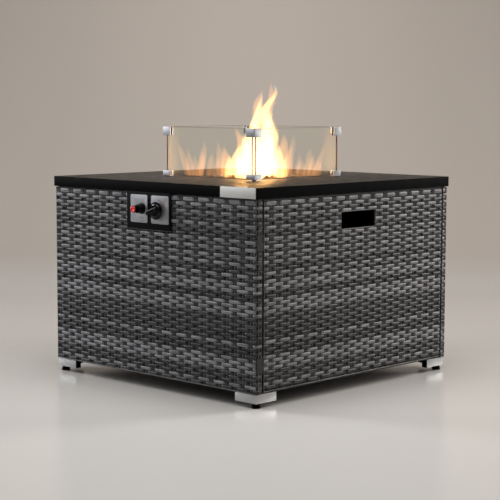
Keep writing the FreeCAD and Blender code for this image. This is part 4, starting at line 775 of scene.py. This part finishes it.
# The upward face takes the lighter copy of the coat: painted light on the top, beside the darker edges
top_sheet.data.materials.append(lit_top_coat)
for face in top_sheet.data.polygons:
    if face.normal.z > 0.9 and face.center.z > TOP_FACE - TOP_FACE_ROOM:
        face.material_index = 1
edge_plate = softened("edge_plate", "table", "fascia_plate", 0.0003)
edge_plate.data.materials[0] = pale_plate
for piece_name, body, node_name, radius in (
    ("panel_frame", "table", "control_bezel", 0.0012),
    ("igniter_face", "table", "igniter_plate", 0.0003),
    ("valve_face", "table", "valve_plate", 0.0003),
    ("corner_covers", "table", "foot_covers", 0.0005),
    ("corner_blocks", "table", "foot_blocks", 0.0006),
    ("upper_clips", "guard", "top_clips", 0.0010),
    ("lower_clips", "guard", "bottom_clips", 0.0010),
):
    softened(piece_name, body, node_name, radius)

# The button is black with a red face
button = softened("button_cap", "igniter_push", "igniter_button", 0.0004)
button.data.materials.append(finishes["black_plastic"])
button_front = min(face.center.y for face in button.data.polygons)
for face in button.data.polygons:
    if face.center.y > button_front + RED_FACE_DEPTH:
        face.material_index = 1


# Dial marks


def flat_bar(net, start, end, half, tone):
    """A thin printed bar on the control panel."""
    start, end = Vector(start), Vector(end)
    along = (end - start).normalized()
    across = Vector((-along.y, along.x)) * half
    low = [start - across, end - across, end + across, start + across]
    back = [(corner.x, MARK_FACE + MARK_THICKNESS, corner.y) for corner in low]
    front = [(corner.x, MARK_FACE, corner.y) for corner in low]
    net.strips([back, front], tone, closed=True)
    last = len(net.vertices)
    net.faces.append((last - 4, last - 3, last - 2, last - 1))
    net.tones.append(tone)


def dial_marks():
    """A swept scale of plain marks round the knob, red in its middle, and three ticks by the button."""
    net = Net()
    for step in range(DIAL_MARKS):
        angle = math.radians(DIAL_START - step * DIAL_STEP)
        tone = 1 if step in DIAL_RED else 0
        way = Vector((math.cos(angle), math.sin(angle)))
        flat_bar(net, KNOB_MIDDLE + way * DIAL_INNER, KNOB_MIDDLE + way * DIAL_OUTER, DIAL_HALF, tone)
    for shift in (-0.004, 0.0, 0.004):
        foot = BUTTON_MIDDLE + Vector((shift, -0.022))
        flat_bar(net, foot, foot + Vector((0.0015, -0.004)), 0.0005, 0)
    materials = [
        coated("mark_black", (0.02, 0.02, 0.02), roughness=0.6),
        coated("mark_red", (0.5, 0.03, 0.02), roughness=0.6),
    ]
    marks = new_piece("dial_marks", net.vertices, net.faces, materials, net.tones, smooth=False)
    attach(marks, "table")


dial_marks()


# Lava bed


def islands(mesh):
    """The separate solids of a mesh in a fixed order, each as the list of its corners."""
    bm = bmesh.new()
    bm.from_mesh(mesh)
    bmesh.ops.remove_doubles(bm, verts=bm.verts, dist=1e-6)
    bm.verts.index_update()
    found = []
    reached = set()
    for first in bm.verts:
        if first.index in reached:
            continue
        reached.add(first.index)
        group = []
        waiting = [first]
        while waiting:
            vertex = waiting.pop()
            group.append(vertex.co.copy())
            for edge in vertex.link_edges:
                other = edge.other_vert(vertex)
                if other.index not in reached:
                    reached.add(other.index)
                    waiting.append(other)
        found.append(group)
    bm.free()
    return found


def rock_mesh(bm, centre, radii, seed):
    """A pitted lump with broken corners."""
    shape = bmesh.ops.create_icosphere(bm, subdivisions=3, radius=1.0)["verts"]
    shift = Vector((seed * 3.1, seed * 1.7, seed * 2.3))
    for vertex in shape:
        way = vertex.co.normalized()
        lumps = noise.noise(way * 1.3 + shift) * 0.30
        chips = abs(noise.noise(way * 3.4 + shift)) * -0.26
        pits = noise.noise(way * 9.0 + shift) * 0.07
        reach = min(1.0, 0.98 + lumps + chips + pits)
        vertex.co = centre + Vector(way[i] * radii[i] * reach for i in range(3))


bed = bmesh.new()
for number, corners in enumerate(islands(nodes["lava_rocks"].data)):
    low = Vector(min(corner[i] for corner in corners) for i in range(3))
    high = Vector(max(corner[i] for corner in corners) for i in range(3))
    rock_mesh(bed, (low + high) / 2, (high - low) / 2, number + 1)
lava_bed = from_bmesh("lava_bed", bed, [lava], smooth=False)
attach(lava_bed, "table")
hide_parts("lava_rocks")


# Stage: floor, backdrop, flame, lights and camera


def toward(right, back, up):
    """A point from its place right of the table's middle, behind it and above the floor, as seen."""
    side = Vector((math.cos(CAMERA_AZIMUTH), math.sin(CAMERA_AZIMUTH), 0.0))
    away = Vector((-math.sin(CAMERA_AZIMUTH), math.cos(CAMERA_AZIMUTH), 0.0))
    return side * right + away * back + Vector((0.0, 0.0, up))


def studio_sweep():
    """A floor that curves up into a wall, with painted shade behind the table and towards the sides."""
    profile = [(SWEEP_FRONT, 0.0), (PAINT_FRONT, 0.0), (BEND_START, 0.0)]
    for step in range(1, BEND_STEPS + 1):
        angle = math.pi / 2 * step / BEND_STEPS
        profile.append((BEND_START + BEND_RADIUS * math.sin(angle), BEND_RADIUS * (1 - math.cos(angle))))
    profile.append((BEND_START + BEND_RADIUS, WALL_TOP))
    net = Net()
    ends = (-SWEEP_HALF_WIDTH, SWEEP_HALF_WIDTH)
    net.strips([[(x, back, up) for x in ends] for back, up in profile], 0)
    material, tree, shader = new_material("studio_paint")
    place = tree.nodes.new("ShaderNodeTexCoord")
    axes = tree.nodes.new("ShaderNodeSeparateXYZ")
    tree.links.new(place.outputs["Object"], axes.inputs["Vector"])
    share = tree.nodes.new("ShaderNodeMapRange")
    share.inputs["From Min"].default_value = PAINT_FRONT
    share.inputs["From Max"].default_value = BEND_START + BEND_RADIUS
    tree.links.new(axes.outputs["Y"], share.inputs["Value"])
    # Painted light and shade: brightest in front of the table, painted shade under and behind it, darkest
    # in the bend, lighter again up the wall
    front, shaded = (0.645, 0.616, 0.58), (0.415, 0.391, 0.366)
    far, wall = (0.39, 0.349, 0.312), (0.51, 0.453, 0.401)
    stops = ((0.24, front), (0.42, shaded), (0.65, shaded), (0.71, far), (0.96, wall))
    aside = tree.nodes.new("ShaderNodeMath")
    aside.operation = "ABSOLUTE"
    tree.links.new(axes.outputs["X"], aside.inputs[0])
    paint = ramp(tree, share.outputs["Result"], stops)
    # Painted shade towards the sides
    sides = ramp(tree, aside.outputs[0], ((0.2, 1.0), (1.0, 0.9)))
    tree.links.new(multiplied(tree, paint, sides), shader.inputs["Base Color"])
    shader.inputs["Roughness"].default_value = 0.20
    sweep = new_piece("studio_sweep", net.vertices, net.faces, [material], net.tones)
    sweep.rotation_euler.z = CAMERA_AZIMUTH
    sweep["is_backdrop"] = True


def flame_tongue(name, foot, tip, radius, seed, material):
    """A closed tongue of flame that narrows and wavers upwards."""
    foot = Vector(foot)
    tip = Vector(tip)
    length = (tip - foot).length
    sections = []
    for ring in range(FLAME_RINGS + 1):
        share = ring / FLAME_RINGS
        drift = Vector((share * length * 14.0, seed * 3.7, 0.0))
        waver = FLAME_WAVER * length * share
        middle = foot.lerp(tip, share)
        middle.x += noise.noise(drift) * waver
        middle.y += noise.noise(drift + Vector((0.0, 0.0, 9.0))) * waver
        swell = 1.5 * (share + 0.04) ** 0.35 * (1 - share) ** 0.9
        ring_radius = max(radius * swell, FLAME_LEAST_RADIUS)
        section = []
        for corner in range(FLAME_SIDES):
            angle = math.tau * corner / FLAME_SIDES
            way = Vector((math.cos(angle), math.sin(angle), 0.0))
            place = way * 1.2 + Vector((seed * 5.1, 0.0, share * length * 11.0))
            ripple = 1 + FLAME_RIPPLE * noise.noise(place) + FLAME_FINE_RIPPLE * noise.noise(place * 2.7)
            section.append((middle + way * ring_radius * ripple)[:])
        sections.append(section)
    net = Net()
    net.strips(sections, 0, closed=True)
    last = len(net.vertices) - FLAME_SIDES
    net.faces.append(tuple(range(FLAME_SIDES - 1, -1, -1)))
    net.faces.append(tuple(range(last, last + FLAME_SIDES)))
    net.tones += [0, 0]
    new_piece(name, net.vertices, net.faces, [material], net.tones)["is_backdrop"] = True


def flames():
    """A broad body of fire over the ring, two tall tongues, and thin flames out to the pan's corners."""
    rng = random.Random(11)
    core = glow("flame_core", (1.0, 0.54, 0.17), 54.0)
    veil = glow("flame_veil", (1.0, 0.42, 0.10), 18.0)
    wisp = glow("flame_wisp", (1.0, 0.40, 0.11), 12.0)
    body = (
        (0.032, 0.052, 0.272, 0.029, core),
        (0.010, 0.014, 0.248, 0.030, core),
        (0.036, 0.044, 0.190, 0.026, core),
        (0.000, 0.002, 0.170, 0.026, core),
        (0.054, 0.056, 0.205, 0.021, core),
        (0.058, 0.068, 0.150, 0.024, core),
        (-0.022, -0.020, 0.128, 0.028, core),
        (-0.010, -0.004, 0.160, 0.030, core),
        (0.020, 0.020, 0.140, 0.034, core),
        (-0.046, -0.044, 0.100, 0.028, core),
        (0.074, 0.078, 0.105, 0.021, core),
        (-0.066, -0.064, 0.070, 0.020, core),
        (0.088, 0.094, 0.066, 0.014, core),
        (0.034, 0.050, 0.280, 0.036, veil),
        (0.008, 0.012, 0.258, 0.036, veil),
        (-0.030, -0.034, 0.150, 0.034, veil),
        (0.080, 0.092, 0.130, 0.030, veil),
        (-0.070, -0.076, 0.095, 0.026, veil),
    )
    for number, (start, end, height, radius, material) in enumerate(body):
        back = rng.uniform(-0.03, 0.03)
        foot = toward(start, back, FLAME_FOOT)
        tip = toward(end, back * 0.4, FLAME_FOOT + height)
        flame_tongue(f"flame_body_{number}", foot, tip, radius, number, material)
    for number in range(RING_FLAMES):
        angle = math.tau * (number + rng.uniform(-0.3, 0.3)) / RING_FLAMES
        reach = RING_RADIUS * rng.uniform(0.8, 1.4)
        foot = Vector((reach * math.cos(angle), reach * math.sin(angle), FLAME_FOOT))
        lean = rng.uniform(0.5, 1.1)
        tip = Vector((foot.x * lean, foot.y * lean, FLAME_FOOT + rng.uniform(0.05, 0.11)))
        flame_tongue(f"flame_ring_{number}", foot, tip, rng.uniform(0.009, 0.016), 30 + number, veil)
    wisps = (
        (-0.180, -0.212, 0.112), (-0.172, -0.184, 0.092), (-0.160, -0.158, 0.070), (-0.150, -0.128, 0.112),
        (-0.144, -0.146, 0.094), (-0.122, -0.114, 0.078), (-0.104, -0.090, 0.068), (-0.086, -0.096, 0.112),
        (0.094, 0.112, 0.130), (0.106, 0.112, 0.100), (0.122, 0.134, 0.078), (0.138, 0.144, 0.056),
        (0.152, 0.168, 0.094), (0.164, 0.178, 0.074), (0.174, 0.212, 0.106), (0.182, 0.194, 0.062),
    )
    for number, (start, end, height) in enumerate(wisps):
        back = rng.uniform(-0.02, 0.02) * (1 - abs(start) / PAN_REACH)
        foot = toward(start, back, FLAME_FOOT + 0.006)
        tip = toward(end, back, FLAME_FOOT + height)
        flame_tongue(f"flame_wisp_{number}", foot, tip, rng.uniform(0.013, 0.019), 60 + number, wisp)


def area_light(name, at, aim, size, power, colour=(1.0, 1.0, 1.0)):
    """A soft rectangular lamp."""
    data = bpy.data.lights.new(name, "AREA")
    data.shape = "RECTANGLE"
    data.size, data.size_y = size
    data.energy = power
    data.color = colour
    lamp = bpy.data.objects.new(name, data)
    lamp.location = at
    lamp.rotation_euler = (Vector(aim) - Vector(at)).to_track_quat("-Z", "Y").to_euler()
    bpy.context.scene.collection.objects.link(lamp)


def fire_light(name, at, power, radius):
    """Warm light from the flame."""
    data = bpy.data.lights.new(name, "POINT")
    data.energy = power
    data.color = (1.0, 0.42, 0.12)
    data.shadow_soft_size = radius
    lamp = bpy.data.objects.new(name, data)
    lamp.visible_camera = False
    lamp.visible_glossy = False
    lamp.visible_transmission = False
    lamp.location = at
    bpy.context.scene.collection.objects.link(lamp)


def place_camera():
    """The camera at the photograph's viewing angle."""
    sin_azimuth, cos_azimuth = math.sin(CAMERA_AZIMUTH), math.cos(CAMERA_AZIMUTH)
    sin_elevation, cos_elevation = math.sin(CAMERA_ELEVATION), math.cos(CAMERA_ELEVATION)
    back = Vector((sin_azimuth * cos_elevation, -cos_azimuth * cos_elevation, sin_elevation))
    right = Vector((0.0, 0.0, 1.0)).cross(back).normalized()
    up = back.cross(right)
    turned = Matrix((right, up, back)).transposed() @ Matrix.Rotation(CAMERA_ROLL, 3, "Z")
    data = bpy.data.cameras.new("camera")
    data.lens = CAMERA_LENS_MM
    data.sensor_width = 36.0
    camera = bpy.data.objects.new("camera", data)
    camera.matrix_world = Matrix.Translation(CAMERA_AT) @ turned.to_4x4()
    bpy.context.scene.collection.objects.link(camera)
    bpy.context.scene.camera = camera


studio_sweep()
flames()
area_light("left_softbox", toward(-3.0, 0.9, 1.5), (0.0, 0.0, 0.3), (1.0, 2.0), 74.0, (0.95, 0.97, 1.0))
area_light("right_softbox", toward(3.0, 0.9, 1.5), (0.0, 0.0, 0.3), (1.0, 2.0), 86.0, (1.0, 0.96, 0.92))
area_light("top_softbox", toward(0.0, -0.5, 3.0), toward(0.0, -0.3, 0.0), (2.2, 2.2), 72.0)
area_light("wall_light", toward(0.0, 0.6, 3.6), toward(0.0, 4.0, 2.2), (2.4, 0.8), 42.0, (1.0, 0.96, 0.92))
fire_light("fire_high", (0.0, 0.0, 0.66), 2.0, 0.05)
fire_light("fire_low", (0.05, -0.05, 0.60), 1.6, 0.03)
place_camera()

world = bpy.data.worlds.new("studio")
bpy.context.scene.world = world
world.use_nodes = True
world.node_tree.nodes["Background"].inputs["Color"].default_value = (0.95, 0.97, 1.0, 1.0)
world.node_tree.nodes["Background"].inputs["Strength"].default_value = 0.18
bpy.context.scene.view_settings.view_transform = "Standard"

low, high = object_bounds()
{"cad": [list(cad_low), list(cad_high)], "visual": [list(low), list(high)]}
